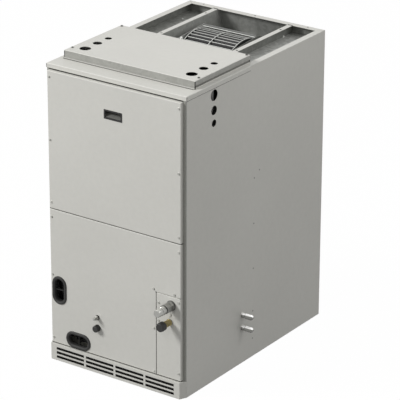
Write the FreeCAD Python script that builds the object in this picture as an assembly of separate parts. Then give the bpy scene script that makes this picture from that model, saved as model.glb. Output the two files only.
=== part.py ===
import FreeCAD, Part
import math
import os

os.makedirs("parts", exist_ok=True)
V = FreeCAD.Vector

# Upflow air handler, in millimetres. The origin is on the floor, under the middle
# of the cabinet. The doors face -Y, +X is the right-hand side, +Z is up.

# Cabinet
WIDTH = 508.0
DEPTH = 735.0
HEIGHT = 960.0
SHEET = 1.2
BEND_RADIUS = 2.5
FRONT_FLANGE = 36.0
FLANGE_NOTCH_PLAY = 2.0
TOP_FLANGE = 22.0
REAR_FLANGE = 20.0
BASE_FLANGE = 25.0
MITRE_GAP = 0.4
LINER = 12.0
LINER_SETBACK = 40.0
CROSS_RAIL_DEPTH = 28.0
CROSS_RAIL_HEIGHT = 26.0

# Kick grille
KICK_HEIGHT = 54.0
KICK_PROUD = 20.0
KICK_RETURN = 15.0
KICK_TAB = 8.0
SLOT_LENGTH = 105.5
SLOT_HEIGHT = 8.5
SLOT_BRIDGE = 7.3
SLOT_ROWS = 3
SLOT_ROW_PITCH = 14.0
SLOT_FIRST_DROP = 13.5
SLOT_END_MARGIN = 15.0

# Access panels
DOOR_INSET = 11.0
DOOR_PROUD = 14.0
DOOR_SEAM = 3.0
DOOR_TOP_GAP = 4.0
DOOR_EDGE = 1.5
SEAM_HEIGHT = 502.0
HANDLE_LENGTH = 66.0
HANDLE_HEIGHT = 29.0
HANDLE_RIM = 3.5
HANDLE_DEPTH = 22.0
HANDLE_DROP = 91.0
HANDLE_PROUD = 1.2
SCREW_EDGE = 7.0
SCREW_HEAD_RADIUS = 3.6
SCREW_HEAD = 2.4
SCREW_RADIUS = 2.0
SCREW_LENGTH = 7.0
SCREW_PLAY = 0.4
UPPER_SCREW_TOP = 18.0
UPPER_SCREW_BOTTOM = 20.0
LOWER_SCREW_TOP = 25.0
DRAIN_SCREW_RISE = 48.5
LOWER_SCREW_BOTTOM = 17.0

# Line plate and refrigerant fittings
PLATE_WIDTH = 90.0
PLATE_HEIGHT = 271.0
PLATE_SEAM = 1.5
PLATE_SCREW_GAP = 8.0
PLATE_LEFT_SCREW_DROPS = (32.0, 91.0)
PLATE_RIGHT_SCREW_DROP = 14.0
PLATE_RIGHT_SCREW_RISE = 24.0
BESIDE_SCREW_DROP = 120.0
ABOVE_SCREW_EDGE = 22.0
SUCTION_EDGE = 33.0
SUCTION_DROP = 29.0
SUCTION_RADIUS = 11.1
SUCTION_BODY_RADIUS = 14.0
SUCTION_GROOVE_RADIUS = 12.3
SUCTION_GROOVE = 2.5
SUCTION_NUT = 20.0
SUCTION_SLEEVE = 24.0
SUCTION_END = 22.0
LIQUID_EDGE = 40.0
LIQUID_DROP = 85.0
LIQUID_RADIUS = 6.35
LIQUID_BODY_RADIUS = 9.5
LIQUID_BODY = 31.0
LIQUID_CAP_RADIUS = 14.0
LIQUID_CAP = 20.0
PLUG_EDGE = 42.0
PLUG_DROP = 60.0
PLUG_RADIUS = 8.0
GROMMET_LIP = 2.5
GROMMET_WALL = 2.0
CAP_PLAY = 0.3
CAP_WALL = 2.5

# Stubs on the lower panel and ports on the right side
STUB_EDGE = 177.0
TEST_STUB_RISE = 131.0
TAP_RISE = 96.0
STUB_RADIUS = 4.0
STUB_NUT_RADIUS = 6.0
STUB_REACH = 20.0
TAP_CAP_RADIUS = 10.5
TAP_CAP = 16.0
STUB_PLAY = 0.5
PORT_FROM_FRONT = 296.0
PORT_HEIGHTS = (162.0, 120.0)
PORT_RADIUS = 4.5
PORT_COLLAR_RADIUS = 8.0
PORT_COLLAR = 2.0
PORT_NECK = 12.0
PORT_CAP_RADIUS = 9.0
PORT_CAP = 26.0
PORT_PLAY = 0.4

# Top cap, top cover and conduit holes
CAP_DEPTH = 352.0
CAP_LIP = 13.0
CAP_BEND = 2.5
CAP_FLANGE_LENGTH = 328.0
COVER_HEIGHT = 25.0
COVER_INSET = 16.0
COVER_SETBACK = 64.0
COVER_REAR_MARGIN = 4.0
COVER_SIDE_SKIRT = 15.0
COVER_MOUTH_MARGIN = 14.0
COVER_SCREW_EDGE = 8.0
COVER_SCREW_SETBACK = 30.0
CONDUIT_DIAMETERS = (34.9, 28.6, 22.2)
CONDUIT_EDGE = 44.0
CONDUIT_SETBACKS = (46.0, 106.0, 160.0)
SIDE_CONDUIT_FROM_FRONT = 138.0
SIDE_CONDUIT_DROPS = (35.0, 82.0, 122.0)
LINER_HOLE_MARGIN = 3.0

# Supply opening
RAIL_SPACING = 280.0
RAIL_FLANGE = 17.0
RAIL_HOLE_RADIUS = 4.0
RAIL_HOLE_FRONT = 313.5
RAIL_HOLE_REAR = 75.5
REAR_HOLE_RADIUS = 3.0
REAR_HOLE_PITCH = 196.0
REAR_HOLE_SETBACK = 8.0
SHELF_DROP = 32.0
SHELF_SCREW_SETBACK = 110.0
BAY_DEPTH = 66.0
BAY_GAP = 4.0

# Blower
WHEEL_RADIUS = 140.0
WHEEL_WIDTH = 180.0
WHEEL_TOP_DROP = 8.0
WHEEL_REAR_GAP = 59.0
WHEEL_RING = 1.5
WHEEL_DISC = 2.0
BLADE_CHORD = 21.0
BLADE_SHEET = 1.0
BLADE_COUNT = 56
BLADE_SWEEP = 5.0
BLADE_BOW = 2.6
HUB_RADIUS = 14.0
HUB_LENGTH = 26.0
SHAFT_RADIUS = 6.35
SHAFT_CLEARANCE = 0.05
SHAFT_SEAT = 15.0
SIDE_GAP = 10.0
CUTOFF_GAP = 5.3
CUTOFF_ANGLE = 21.4
SCROLL_GROWTH = 0.19
SCROLL_STEP = 31.0
SCROLL_MARGIN = 3.0
CUTOFF_HEM = 2.2
OUTLET_DROP = 26.0
INLET_LIP = 6.0
INLET_FLANGE = 8.0
INLET_THROAT = 12.0
MOTOR_RADIUS = 70.0
MOTOR_LENGTH = 116.0
MOTOR_BOSS_RADIUS = 24.0
MOTOR_BOSS = 3.0
MOTOR_TO_DISC = 24.0
MOTOR_EDGE = 6.0
BAND_WIDTH = 22.0
BAND_WALL = 3.0
BAND_PLAY = 0.2
ARM_WIDTH = 14.0
ARM_ANGLES = (60.0, 180.0, 300.0)
ARM_SHEET = 6.0
HANGER_WIDTH = 22.0
HANGER_HEIGHT = 16.0
HANGER_SHEET = 2.0
HANGER_ANGLE = 46.0
HANGER_OFFSET = 15.0
HANGER_FRONT_SETBACK = 34.0

# Controls
CONTROL_SETBACK = 166.0
CONTROL_PANEL_LOW = 300.0
CONTROL_PANEL_HIGH = 72.0
CONTROL_FLANGE = 16.0
BOX_WIDTH = 310.0
BOX_HEIGHT = 170.0
BOX_DEPTH = 88.0
BOX_DROP = 100.0
BOARD = (130.0, 100.0, 1.6)
BOARD_STANDOFF = 8.0
BOARD_STANDOFF_RADIUS = 4.0
BOARD_OFFSET = 55.0
TRANSFORMER = (62.0, 56.0, 54.0)
TRANSFORMER_OFFSET = 85.0

# Coil, drain pans and filter
COIL_FRONT = 100.0
COIL_REAR = 60.0
COIL_LENGTH = 365.0
COIL_THICKNESS = 66.0
COIL_APEX_GAP = 8.0
FIN_SHEET = 0.5
FIN_PITCH = 9.0
COIL_PLATE = 1.5
COIL_PLATE_MARGIN = 8.0
BEND_TUBE_RADIUS = 4.8
BEND_PITCH = 38.0
BEND_COUNT = 8
PAN_MARGIN = 17.0
PAN_GAP = 10.8
PAN_HEIGHT = 47.0
PAN_WALL = 3.0
PAN_TROUGH = 105.0
PAN_OVERHANG = 18.0
DRAIN_EDGE = 102.0
DRAIN_RISE = 31.0
SIDE_DRAIN_EDGE = 32.0
SIDE_DRAIN_RISE = 183.0
DRAIN_BLOCK_LENGTH = 73.0
DRAIN_BLOCK_WIDTH = 34.0
DRAIN_PORT_RADIUS = 12.0
DRAIN_PORT_DEPTH = 18.0
DRAIN_RECESS = 34.0
BEZEL_PLAY = 1.5
BEZEL_WALL = 2.3
BEZEL_RIM = 5.5
BEZEL_PROUD = 3.0
BEZEL_SLEEVE = 12.0
BEZEL_WEB = 2.5
BEZEL_WEB_SETBACK = 2.0
SIDE_PAN_HEIGHT = 200.0
SIDE_PAN_GAP = 3.0
SIDE_PAN_OVERHANG = 23.0
FILTER_THICKNESS = 25.4
FILTER_FRAME = 18.0
FILTER_PAD = 6.0
FILTER_PLAY = 1.2
SUPPORT_LEDGE = 25.0
HEADER_RADIUS = 14.0
HEADER_SETBACK = 33.0
HEADER_ABOVE = 130.0
HEADER_BELOW = 20.0
HEADER_STUB_RADIUS = 4.8
HEADER_STUB_COUNT = 4
VALVE_SIZE = 30.0
VALVE_HEAD_RADIUS = 20.0
VALVE_HEAD = 12.0

# Planes that several pieces share
HALF = WIDTH / 2
FRONT = -DEPTH / 2
REAR = DEPTH / 2
INNER = HALF - SHEET
LINER_FACE = INNER - LINER
DOOR_HALF = HALF - DOOR_INSET
DOOR_FACE = FRONT - DOOR_PROUD
KICK_FACE = FRONT - KICK_PROUD
UPPER_TOP = HEIGHT - CAP_LIP - DOOR_TOP_GAP
UPPER_BOTTOM = SEAM_HEIGHT + DOOR_SEAM / 2
LOWER_TOP = SEAM_HEIGHT - DOOR_SEAM / 2
LOWER_BOTTOM = KICK_HEIGHT + DOOR_SEAM
PLATE_LEFT = DOOR_HALF - PLATE_WIDTH
PLATE_TOP = LOWER_BOTTOM + PLATE_HEIGHT
CAP_TOP = HEIGHT + SHEET
CAP_REAR = FRONT + CAP_DEPTH
COVER_HALF = HALF - COVER_INSET
COVER_FRONT = FRONT + COVER_SETBACK
COVER_REAR = CAP_REAR - COVER_REAR_MARGIN
COVER_TOP = CAP_TOP + COVER_HEIGHT
RAIL_WEB = RAIL_SPACING / 2 - RAIL_FLANGE / 2
BAY_FLOOR = HEIGHT - BAY_DEPTH
SHELF_TOP = HEIGHT - SHELF_DROP
CONTROL_Y = FRONT + CONTROL_SETBACK
BOX_TOP = HEIGHT - BOX_DROP
BOX_BACK = CONTROL_Y - SHEET

# Blower axis, which runs along X
AXIS_Y = REAR - WHEEL_REAR_GAP - WHEEL_RADIUS
AXIS_Z = HEIGHT - WHEEL_TOP_DROP - WHEEL_RADIUS
SCROLL_END = 270.0 - CUTOFF_ANGLE
SCROLL_START_RADIUS = WHEEL_RADIUS + CUTOFF_GAP
SCROLL_FRONT = AXIS_Y - SCROLL_START_RADIUS - SCROLL_GROWTH * SCROLL_END
OUTLET_TOP = HEIGHT - OUTLET_DROP
BAY_FRONT = SCROLL_FRONT - BAY_GAP
HOUSING_FACE = WHEEL_WIDTH / 2 + SIDE_GAP
BLADE_ROOT = WHEEL_RADIUS - BLADE_CHORD
THROAT_RADIUS = BLADE_ROOT - INLET_THROAT
MOUTH_RADIUS = THROAT_RADIUS + INLET_LIP
INLET_RADIUS = MOUTH_RADIUS + INLET_FLANGE
MOTOR_FACE = -WHEEL_DISC / 2 - MOTOR_TO_DISC

# Places on the front, from the door edges
HANDLE_Z = UPPER_TOP - HANDLE_DROP
SUCTION_X = DOOR_HALF - SUCTION_EDGE
SUCTION_Z = PLATE_TOP - SUCTION_DROP
LIQUID_X = DOOR_HALF - LIQUID_EDGE
LIQUID_Z = PLATE_TOP - LIQUID_DROP
PLUG_X = DOOR_HALF - PLUG_EDGE
PLUG_Z = PLATE_TOP - PLUG_DROP
STUB_X = STUB_EDGE - DOOR_HALF
TEST_Z = KICK_HEIGHT + TEST_STUB_RISE
TAP_Z = KICK_HEIGHT + TAP_RISE
DRAIN_X = DRAIN_EDGE - DOOR_HALF
DRAIN_Z = KICK_HEIGHT + DRAIN_RISE
SIDE_DRAIN_X = SIDE_DRAIN_EDGE - DOOR_HALF
SIDE_DRAIN_Z = KICK_HEIGHT + SIDE_DRAIN_RISE

# Coil, pan and filter levels
PAN_BOTTOM = DRAIN_Z - DRAIN_BLOCK_WIDTH / 2 - PAN_WALL
PAN_FLOOR = PAN_BOTTOM + PAN_WALL
PAN_HALF = LINER_FACE - PAN_GAP
COIL_HALF = PAN_HALF - PAN_MARGIN
COIL_PLATE_HALF = COIL_HALF + COIL_PLATE_MARGIN
COIL_Y0 = FRONT + COIL_FRONT
COIL_Y1 = REAR - COIL_REAR
COIL_TILT = math.asin((COIL_HALF - COIL_APEX_GAP / 2) / math.hypot(COIL_LENGTH, COIL_THICKNESS)) \
    - math.atan2(COIL_THICKNESS, COIL_LENGTH)
COIL_TOP = PAN_FLOOR + COIL_LENGTH * math.cos(COIL_TILT) + COIL_THICKNESS * math.sin(COIL_TILT)
FILTER_SEAT = PAN_BOTTOM - SHEET - FILTER_PLAY - FILTER_THICKNESS
HEADER_Y = COIL_Y0 - HEADER_SETBACK


def block(x, y, z):
    """Box between two X, two Y and two Z values, given in either order."""
    low = V(min(x), min(y), min(z))
    return Part.makeBox(abs(x[1] - x[0]), abs(y[1] - y[0]), abs(z[1] - z[0]), low)


def rod(start, end, radius):
    """Round bar from one point to another."""
    axis = end - start
    return Part.makeCylinder(radius, axis.Length, start, axis)


def rod_y(x, z, radius, y0, y1):
    """Round bar along Y."""
    return rod(V(x, min(y0, y1), z), V(x, max(y0, y1), z), radius)


def rod_x(y, z, radius, x0, x1):
    """Round bar along X."""
    return rod(V(min(x0, x1), y, z), V(max(x0, x1), y, z), radius)


def rod_z(x, y, radius, z0, z1):
    """Round bar along Z."""
    return rod(V(x, y, min(z0, z1)), V(x, y, max(z0, z1)), radius)


def prism(points, travel):
    """Flat outline pushed along a vector."""
    return Part.Face(Part.makePolygon(points + [points[0]])).extrude(travel)


def stadium_y(x, z, length, width, y0, y1, upright=False):
    """Bar along Y whose section is a slot with round ends."""
    straight = (length - width) / 2
    if upright:
        body = block((x - width / 2, x + width / 2), (y0, y1), (z - straight, z + straight))
        ends = [rod_y(x, z - straight, width / 2, y0, y1), rod_y(x, z + straight, width / 2, y0, y1)]
    else:
        body = block((x - straight, x + straight), (y0, y1), (z - width / 2, z + width / 2))
        ends = [rod_y(x - straight, z, width / 2, y0, y1), rod_y(x + straight, z, width / 2, y0, y1)]
    return join([body] + ends)


def join(shapes):
    """One solid from touching shapes."""
    return shapes[0].fuse(shapes[1:]).removeSplitter()


def hexagon_y(x, z, across, y0, y1):
    """Hexagonal bar along Y."""
    corner = across / math.sqrt(3)
    angles = [math.radians(60 * step) for step in range(6)]
    points = [V(x + corner * math.cos(a), y0, z + corner * math.sin(a)) for a in angles]
    return prism(points, V(0, y1 - y0, 0))


def front_edges(shape, y):
    """Edges that lie wholly in one plane square to Y."""
    return [e for e in shape.Edges if all(abs(v.Y - y) < SHEET / 100 for v in e.Vertexes)]


def save(name, shape):
    """Write one node."""
    if not shape.isValid():
        print(name, "is not valid")
    shape.exportStep("parts/" + name + ".step")


def group(shapes):
    """Separate solids that share a node."""
    return Part.makeCompound(shapes)


# Cabinet shell
def side_panel(side):
    """Folded side: wall, front flange with a round bend, top flange mitred at the rear."""
    inner_bend = BEND_RADIUS - SHEET
    bend_y = FRONT + BEND_RADIUS
    bend_x = HALF - BEND_RADIUS
    half_angle = math.sqrt(0.5)
    start = V(side * HALF, bend_y, KICK_HEIGHT)
    outer_mid = V(side * (bend_x + BEND_RADIUS * half_angle), bend_y - BEND_RADIUS * half_angle, KICK_HEIGHT)
    outer_end = V(side * bend_x, FRONT, KICK_HEIGHT)
    tip_front = V(side * (HALF - FRONT_FLANGE), FRONT, KICK_HEIGHT)
    tip_rear = V(side * (HALF - FRONT_FLANGE), FRONT + SHEET, KICK_HEIGHT)
    inner_start = V(side * bend_x, FRONT + SHEET, KICK_HEIGHT)
    inner_mid = V(side * (bend_x + inner_bend * half_angle), bend_y - inner_bend * half_angle, KICK_HEIGHT)
    inner_end = V(side * INNER, bend_y, KICK_HEIGHT)
    outline = [
        Part.Arc(start, outer_mid, outer_end).toShape(),
        Part.LineSegment(outer_end, tip_front).toShape(),
        Part.LineSegment(tip_front, tip_rear).toShape(),
        Part.LineSegment(tip_rear, inner_start).toShape(),
        Part.Arc(inner_start, inner_mid, inner_end).toShape(),
        Part.LineSegment(inner_end, start).toShape(),
    ]
    flange = Part.Face(Part.Wire(outline)).extrude(V(0, 0, HEIGHT - KICK_HEIGHT))
    wall = block((side * INNER, side * HALF), (bend_y, REAR), (0, HEIGHT))
    lip_x = side * (HALF - TOP_FLANGE)
    lip = prism([
        V(side * HALF, bend_y, HEIGHT - SHEET),
        V(side * HALF, REAR, HEIGHT - SHEET),
        V(lip_x, REAR - TOP_FLANGE, HEIGHT - SHEET),
        V(lip_x, bend_y, HEIGHT - SHEET),
    ], V(0, 0, SHEET))
    return join([wall, flange, lip])


def conduit_cuts(margin):
    """Cutters for the column of conduit holes on the right side."""
    y = FRONT + SIDE_CONDUIT_FROM_FRONT
    holes = zip(SIDE_CONDUIT_DROPS, CONDUIT_DIAMETERS)
    x = (LINER_FACE - SHEET, HALF + SHEET)
    return [rod_x(y, HEIGHT - drop, size / 2 + margin, *x) for drop, size in holes]


def port_cuts(margin):
    """Cutters for the two side port stubs."""
    y = FRONT + PORT_FROM_FRONT
    return [rod_x(y, z, PORT_RADIUS + margin, LINER_FACE - SHEET, HALF + SHEET) for z in PORT_HEIGHTS]


def left_side_panel():
    """Left side; its front flange is notched for the side drain block."""
    length = DRAIN_BLOCK_LENGTH + 2 * FLANGE_NOTCH_PLAY
    width = DRAIN_BLOCK_WIDTH + 2 * FLANGE_NOTCH_PLAY
    y = (FRONT - SHEET, FRONT + 2 * SHEET)
    return side_panel(-1).cut(stadium_y(SIDE_DRAIN_X, SIDE_DRAIN_Z, length, width, *y, upright=True))


def right_side_panel():
    """Right side with its conduit and port holes; the front flange is notched for the two lines."""
    y = (FRONT - SHEET, FRONT + 2 * SHEET)
    notches = [
        rod_y(SUCTION_X, SUCTION_Z, SUCTION_RADIUS + FLANGE_NOTCH_PLAY, *y),
        rod_y(LIQUID_X, LIQUID_Z, LIQUID_RADIUS + FLANGE_NOTCH_PLAY, *y),
    ]
    return side_panel(1).cut(conduit_cuts(0) + port_cuts(PORT_PLAY) + notches)


def rear_panel():
    """Rear sheet with forward side flanges and a mitred top flange with duct screw holes."""
    sheet = block((-INNER, INNER), (REAR - SHEET, REAR), (0, HEIGHT))
    top_flange = prism([
        V(-INNER + MITRE_GAP, REAR, HEIGHT - SHEET),
        V(INNER - MITRE_GAP, REAR, HEIGHT - SHEET),
        V(HALF - TOP_FLANGE - MITRE_GAP, REAR - TOP_FLANGE, HEIGHT - SHEET),
        V(-HALF + TOP_FLANGE + MITRE_GAP, REAR - TOP_FLANGE, HEIGHT - SHEET),
    ], V(0, 0, SHEET))
    low = BASE_FLANGE + SHEET
    high = BAY_FLOOR - 2 * SHEET
    edge_y = (REAR - REAR_FLANGE, REAR)
    edges = [block((side * (INNER - SHEET), side * INNER), edge_y, (low, high)) for side in (-1, 1)]
    hole_y = REAR - REAR_HOLE_SETBACK
    hole_z = (HEIGHT - 2 * SHEET, HEIGHT + SHEET)
    holes = [rod_z(step * REAR_HOLE_PITCH, hole_y, REAR_HOLE_RADIUS, *hole_z) for step in (-1, 0, 1)]
    return join([sheet, top_flange] + edges).cut(holes)


def base_pan():
    """Floor sheet that reaches forward under the kick grille, with upturned flanges on three sides."""
    y0 = FRONT + KICK_RETURN
    y1 = REAR - SHEET
    floor = block((-INNER, INNER), (y0, y1), (0, SHEET))
    apron_half = DOOR_HALF - 2 * SHEET
    apron = block((-apron_half, apron_half), (KICK_FACE + SHEET, y0), (0, SHEET))
    sides = [block((side * (INNER - SHEET), side * INNER), (y0, y1), (0, BASE_FLANGE)) for side in (-1, 1)]
    back = block((-INNER, INNER), (y1 - SHEET, y1), (0, BASE_FLANGE))
    return join([floor, apron, back] + sides)


def kick_end(side):
    """Slanted end of the kick grille, from its front corner to the edge of the side wall, with a rear tab."""
    wall_y = FRONT + BEND_RADIUS
    run = math.hypot(DOOR_INSET, wall_y - KICK_FACE)
    thickness = SHEET * run / (wall_y - KICK_FACE)
    wall = prism([
        V(side * DOOR_HALF, KICK_FACE, 0),
        V(side * HALF, wall_y, 0),
        V(side * (HALF - thickness), wall_y, 0),
        V(side * (DOOR_HALF - thickness), KICK_FACE, 0),
    ], V(0, 0, KICK_HEIGHT))
    rear = FRONT + KICK_RETURN
    tab = block((side * (INNER - KICK_TAB), side * INNER), (rear - SHEET, rear), (0, KICK_HEIGHT))
    return [wall, tab]


def kick_grille():
    """Slotted front of the base, with a top ledge and slanted ends that reach the side walls."""
    rear = FRONT + KICK_RETURN
    wall_y = FRONT + BEND_RADIUS
    face = block((-DOOR_HALF, DOOR_HALF), (KICK_FACE, KICK_FACE + SHEET), (0, KICK_HEIGHT))
    right_edge = [(DOOR_HALF, KICK_FACE), (HALF, wall_y), (INNER, wall_y), (INNER, rear)]
    left_edge = [(-x, y) for x, y in reversed(right_edge)]
    ledge = prism([V(x, y, KICK_HEIGHT - SHEET) for x, y in right_edge + left_edge], V(0, 0, SHEET))
    shell = join([face, ledge] + kick_end(-1) + kick_end(1))
    pitch = SLOT_LENGTH + SLOT_BRIDGE
    columns = int((2 * DOOR_HALF - 2 * SLOT_END_MARGIN + SLOT_BRIDGE) // pitch)
    cuts = []
    for row in range(SLOT_ROWS):
        z = KICK_HEIGHT - SLOT_FIRST_DROP - row * SLOT_ROW_PITCH
        for column in range(columns):
            x = (column - (columns - 1) / 2) * pitch
            slot_x = (x - SLOT_LENGTH / 2, x + SLOT_LENGTH / 2)
            slot_z = (z - SLOT_HEIGHT / 2, z + SLOT_HEIGHT / 2)
            cuts.append(block(slot_x, (KICK_FACE - SHEET, KICK_FACE + 2 * SHEET), slot_z))
    return shell.cut(cuts)


def cross_rails():
    """Channels behind the cap lip and behind the seam between the doors."""
    y0 = FRONT + SHEET
    y1 = y0 + CROSS_RAIL_DEPTH
    rails = []
    for top in (SEAM_HEIGHT + CROSS_RAIL_HEIGHT / 2, HEIGHT - 2 * SHEET):
        low = top - CROSS_RAIL_HEIGHT
        outer = block((-INNER, INNER), (y0, y1), (low, top))
        hollow = block((-INNER, INNER), (y0 + SHEET, y1 + SHEET), (low + SHEET, top - SHEET))
        rails.append(outer.cut(hollow))
    return group(rails)


def insulation_liners():
    """Glass-wool boards on the side and rear walls."""
    low = PAN_BOTTOM + PAN_HEIGHT
    high = BAY_FLOOR - 2 * SHEET
    y = (FRONT + LINER_SETBACK, REAR - REAR_FLANGE - SHEET)
    left = block((-INNER, -LINER_FACE), y, (low, high))
    right = block((LINER_FACE, INNER), y, (low, high))
    right = right.cut(conduit_cuts(LINER_HOLE_MARGIN) + port_cuts(LINER_HOLE_MARGIN))
    back_half = INNER - 2 * SHEET
    back = block((-back_half, back_half), (REAR - SHEET - LINER, REAR - SHEET), (low, high))
    return group([left, right, back])


# Top cap and cover
def top_cap():
    """Lid over the front of the cabinet: round bends, front lip and side flanges, and a wire opening."""
    side_x = HALF + SHEET
    front_y = FRONT - SHEET
    low = HEIGHT - CAP_LIP
    body = block((-side_x, side_x), (front_y, CAP_REAR), (low, CAP_TOP))
    top_edges = [e for e in body.Edges if all(abs(v.Z - CAP_TOP) < SHEET / 100 for v in e.Vertexes)]
    bends = [e for e in top_edges if min(v.Y for v in e.Vertexes) < CAP_REAR - SHEET]
    outer = body.makeFillet(CAP_BEND, bends)
    inner = block((-HALF, HALF), (FRONT, CAP_REAR + SHEET), (low - SHEET, HEIGHT))
    relief_y = (FRONT + CAP_FLANGE_LENGTH, CAP_REAR + SHEET)
    relief = block((-side_x - SHEET, side_x + SHEET), relief_y, (low - SHEET, HEIGHT))
    mouth_x = COVER_HALF - COVER_MOUTH_MARGIN
    mouth_y = (COVER_FRONT + COVER_MOUTH_MARGIN, COVER_REAR - COVER_MOUTH_MARGIN)
    mouth = block((-mouth_x, mouth_x), mouth_y, (HEIGHT - SHEET, CAP_TOP + SHEET))
    hole_z = (HEIGHT - SHEET, CAP_TOP + SHEET)
    screw_holes = [rod_z(x, y, SCREW_RADIUS + SCREW_PLAY, *hole_z) for x, y in cover_screw_places()]
    return outer.cut([inner, relief, mouth] + screw_holes)


def cover_screw_places():
    """X and Y of the four cover screws."""
    x = COVER_HALF - COVER_SCREW_EDGE
    ys = (COVER_FRONT + COVER_SCREW_SETBACK, COVER_REAR - COVER_SCREW_EDGE)
    return [(side * x, y) for side in (-1, 1) for y in ys]


def top_cover():
    """Raised lid with two rows of conduit holes, a deep front and rear skirt and shorter side skirts."""
    outer = block((-COVER_HALF, COVER_HALF), (COVER_FRONT, COVER_REAR), (CAP_TOP, COVER_TOP))
    edges = [e for e in outer.Edges if all(abs(v.Z - COVER_TOP) < SHEET / 100 for v in e.Vertexes)]
    inner_x = COVER_HALF - SHEET
    inner_y = (COVER_FRONT + SHEET, COVER_REAR - SHEET)
    below = CAP_TOP - SHEET
    hollow = block((-inner_x, inner_x), inner_y, (below, COVER_TOP - SHEET))
    relief_x = COVER_HALF + SHEET
    relief = block((-relief_x, relief_x), inner_y, (below, COVER_TOP - COVER_SIDE_SKIRT))
    holes = []
    for side in (-1, 1):
        for setback, size in zip(CONDUIT_SETBACKS, CONDUIT_DIAMETERS):
            x = side * (COVER_HALF - CONDUIT_EDGE)
            holes.append(rod_z(x, COVER_FRONT + setback, size / 2, CAP_TOP, COVER_TOP + SHEET))
    for x, y in cover_screw_places():
        holes.append(rod_z(x, y, SCREW_RADIUS + SCREW_PLAY, CAP_TOP, COVER_TOP + SHEET))
    return outer.makeFillet(DOOR_EDGE, edges).cut([hollow, relief] + holes)


def screw_z(x, y, z):
    """Pan screw pointing down from a face at height z."""
    head = rod_z(x, y, SCREW_HEAD_RADIUS, z, z + SCREW_HEAD)
    return join([head, rod_z(x, y, SCREW_RADIUS, z - SCREW_LENGTH, z)])


def screw_y(x, z, y):
    """Pan screw pointing back from a face at depth y."""
    head = rod_y(x, z, SCREW_HEAD_RADIUS, y - SCREW_HEAD, y)
    return join([head, rod_y(x, z, SCREW_RADIUS, y, y + SCREW_LENGTH)])


def cover_screws():
    """Four screws through the cover."""
    return group([screw_z(x, y, COVER_TOP) for x, y in cover_screw_places()])


# Access panels
def pan_panel(outline):
    """Shallow pan from its X and Z outline, with round front edges; the walls are one sheet thick."""
    solid = prism([V(x, DOOR_FACE, z) for x, z in outline], V(0, DOOR_PROUD, 0))
    return solid.makeFillet(DOOR_EDGE, front_edges(solid, DOOR_FACE))


def pan_hollow(outline):
    """Inside of a pan, open to the rear."""
    return prism([V(x, DOOR_FACE + SHEET, z) for x, z in outline], V(0, DOOR_PROUD, 0))


def rectangle(x0, x1, z0, z1):
    """Four outline corners."""
    return [(x0, z0), (x1, z0), (x1, z1), (x0, z1)]


def screw_cuts(places):
    """Cutters for panel screws."""
    radius = SCREW_RADIUS + SCREW_PLAY
    return [rod_y(x, z, radius, DOOR_FACE - SHEET, DOOR_FACE + 2 * SHEET) for x, z in places]


def upper_screw_places():
    """X and Z of the upper panel's screws."""
    x = DOOR_HALF - SCREW_EDGE
    high = UPPER_TOP - UPPER_SCREW_TOP
    low = UPPER_BOTTOM + UPPER_SCREW_BOTTOM
    return [(side * x, z) for side in (-1, 1) for z in (high, (high + low) / 2, low)]


def lower_screw_places():
    """X and Z of the lower panel's screws, with those that hold it beside the line plate."""
    x = DOOR_HALF - SCREW_EDGE
    beside = PLATE_LEFT - PLATE_SCREW_GAP
    above = PLATE_TOP + PLATE_SCREW_GAP
    return [
        (-x, LOWER_TOP - LOWER_SCREW_TOP),
        (x, LOWER_TOP - LOWER_SCREW_TOP),
        (-x, SIDE_DRAIN_Z + DRAIN_SCREW_RISE),
        (-x, LOWER_BOTTOM + LOWER_SCREW_BOTTOM),
        (beside, above),
        (DOOR_HALF - ABOVE_SCREW_EDGE, above),
        (beside, PLATE_TOP - BESIDE_SCREW_DROP),
        (beside, LOWER_BOTTOM + PLATE_SCREW_GAP),
    ]


def plate_screw_places():
    """X and Z of the line plate's screws."""
    left = PLATE_LEFT + PLATE_SEAM + PLATE_SCREW_GAP
    right = DOOR_HALF - SCREW_EDGE
    places = [(left, PLATE_TOP - drop) for drop in PLATE_LEFT_SCREW_DROPS]
    places.append((right, PLATE_TOP - PLATE_RIGHT_SCREW_DROP))
    places.append((right, LOWER_BOTTOM + PLATE_RIGHT_SCREW_RISE))
    return places


def upper_access_panel():
    """Upper door with the opening for the pull."""
    panel = pan_panel(rectangle(-DOOR_HALF, DOOR_HALF, UPPER_BOTTOM, UPPER_TOP))
    inner = DOOR_HALF - SHEET
    hollow = pan_hollow(rectangle(-inner, inner, UPPER_BOTTOM + SHEET, UPPER_TOP - SHEET))
    half_x = HANDLE_LENGTH / 2 - HANDLE_RIM + CAP_PLAY
    half_z = HANDLE_HEIGHT / 2 - HANDLE_RIM + CAP_PLAY
    pull = block((-half_x, half_x), (DOOR_FACE - SHEET, FRONT), (HANDLE_Z - half_z, HANDLE_Z + half_z))
    return panel.cut([hollow, pull] + screw_cuts(upper_screw_places()))


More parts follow.
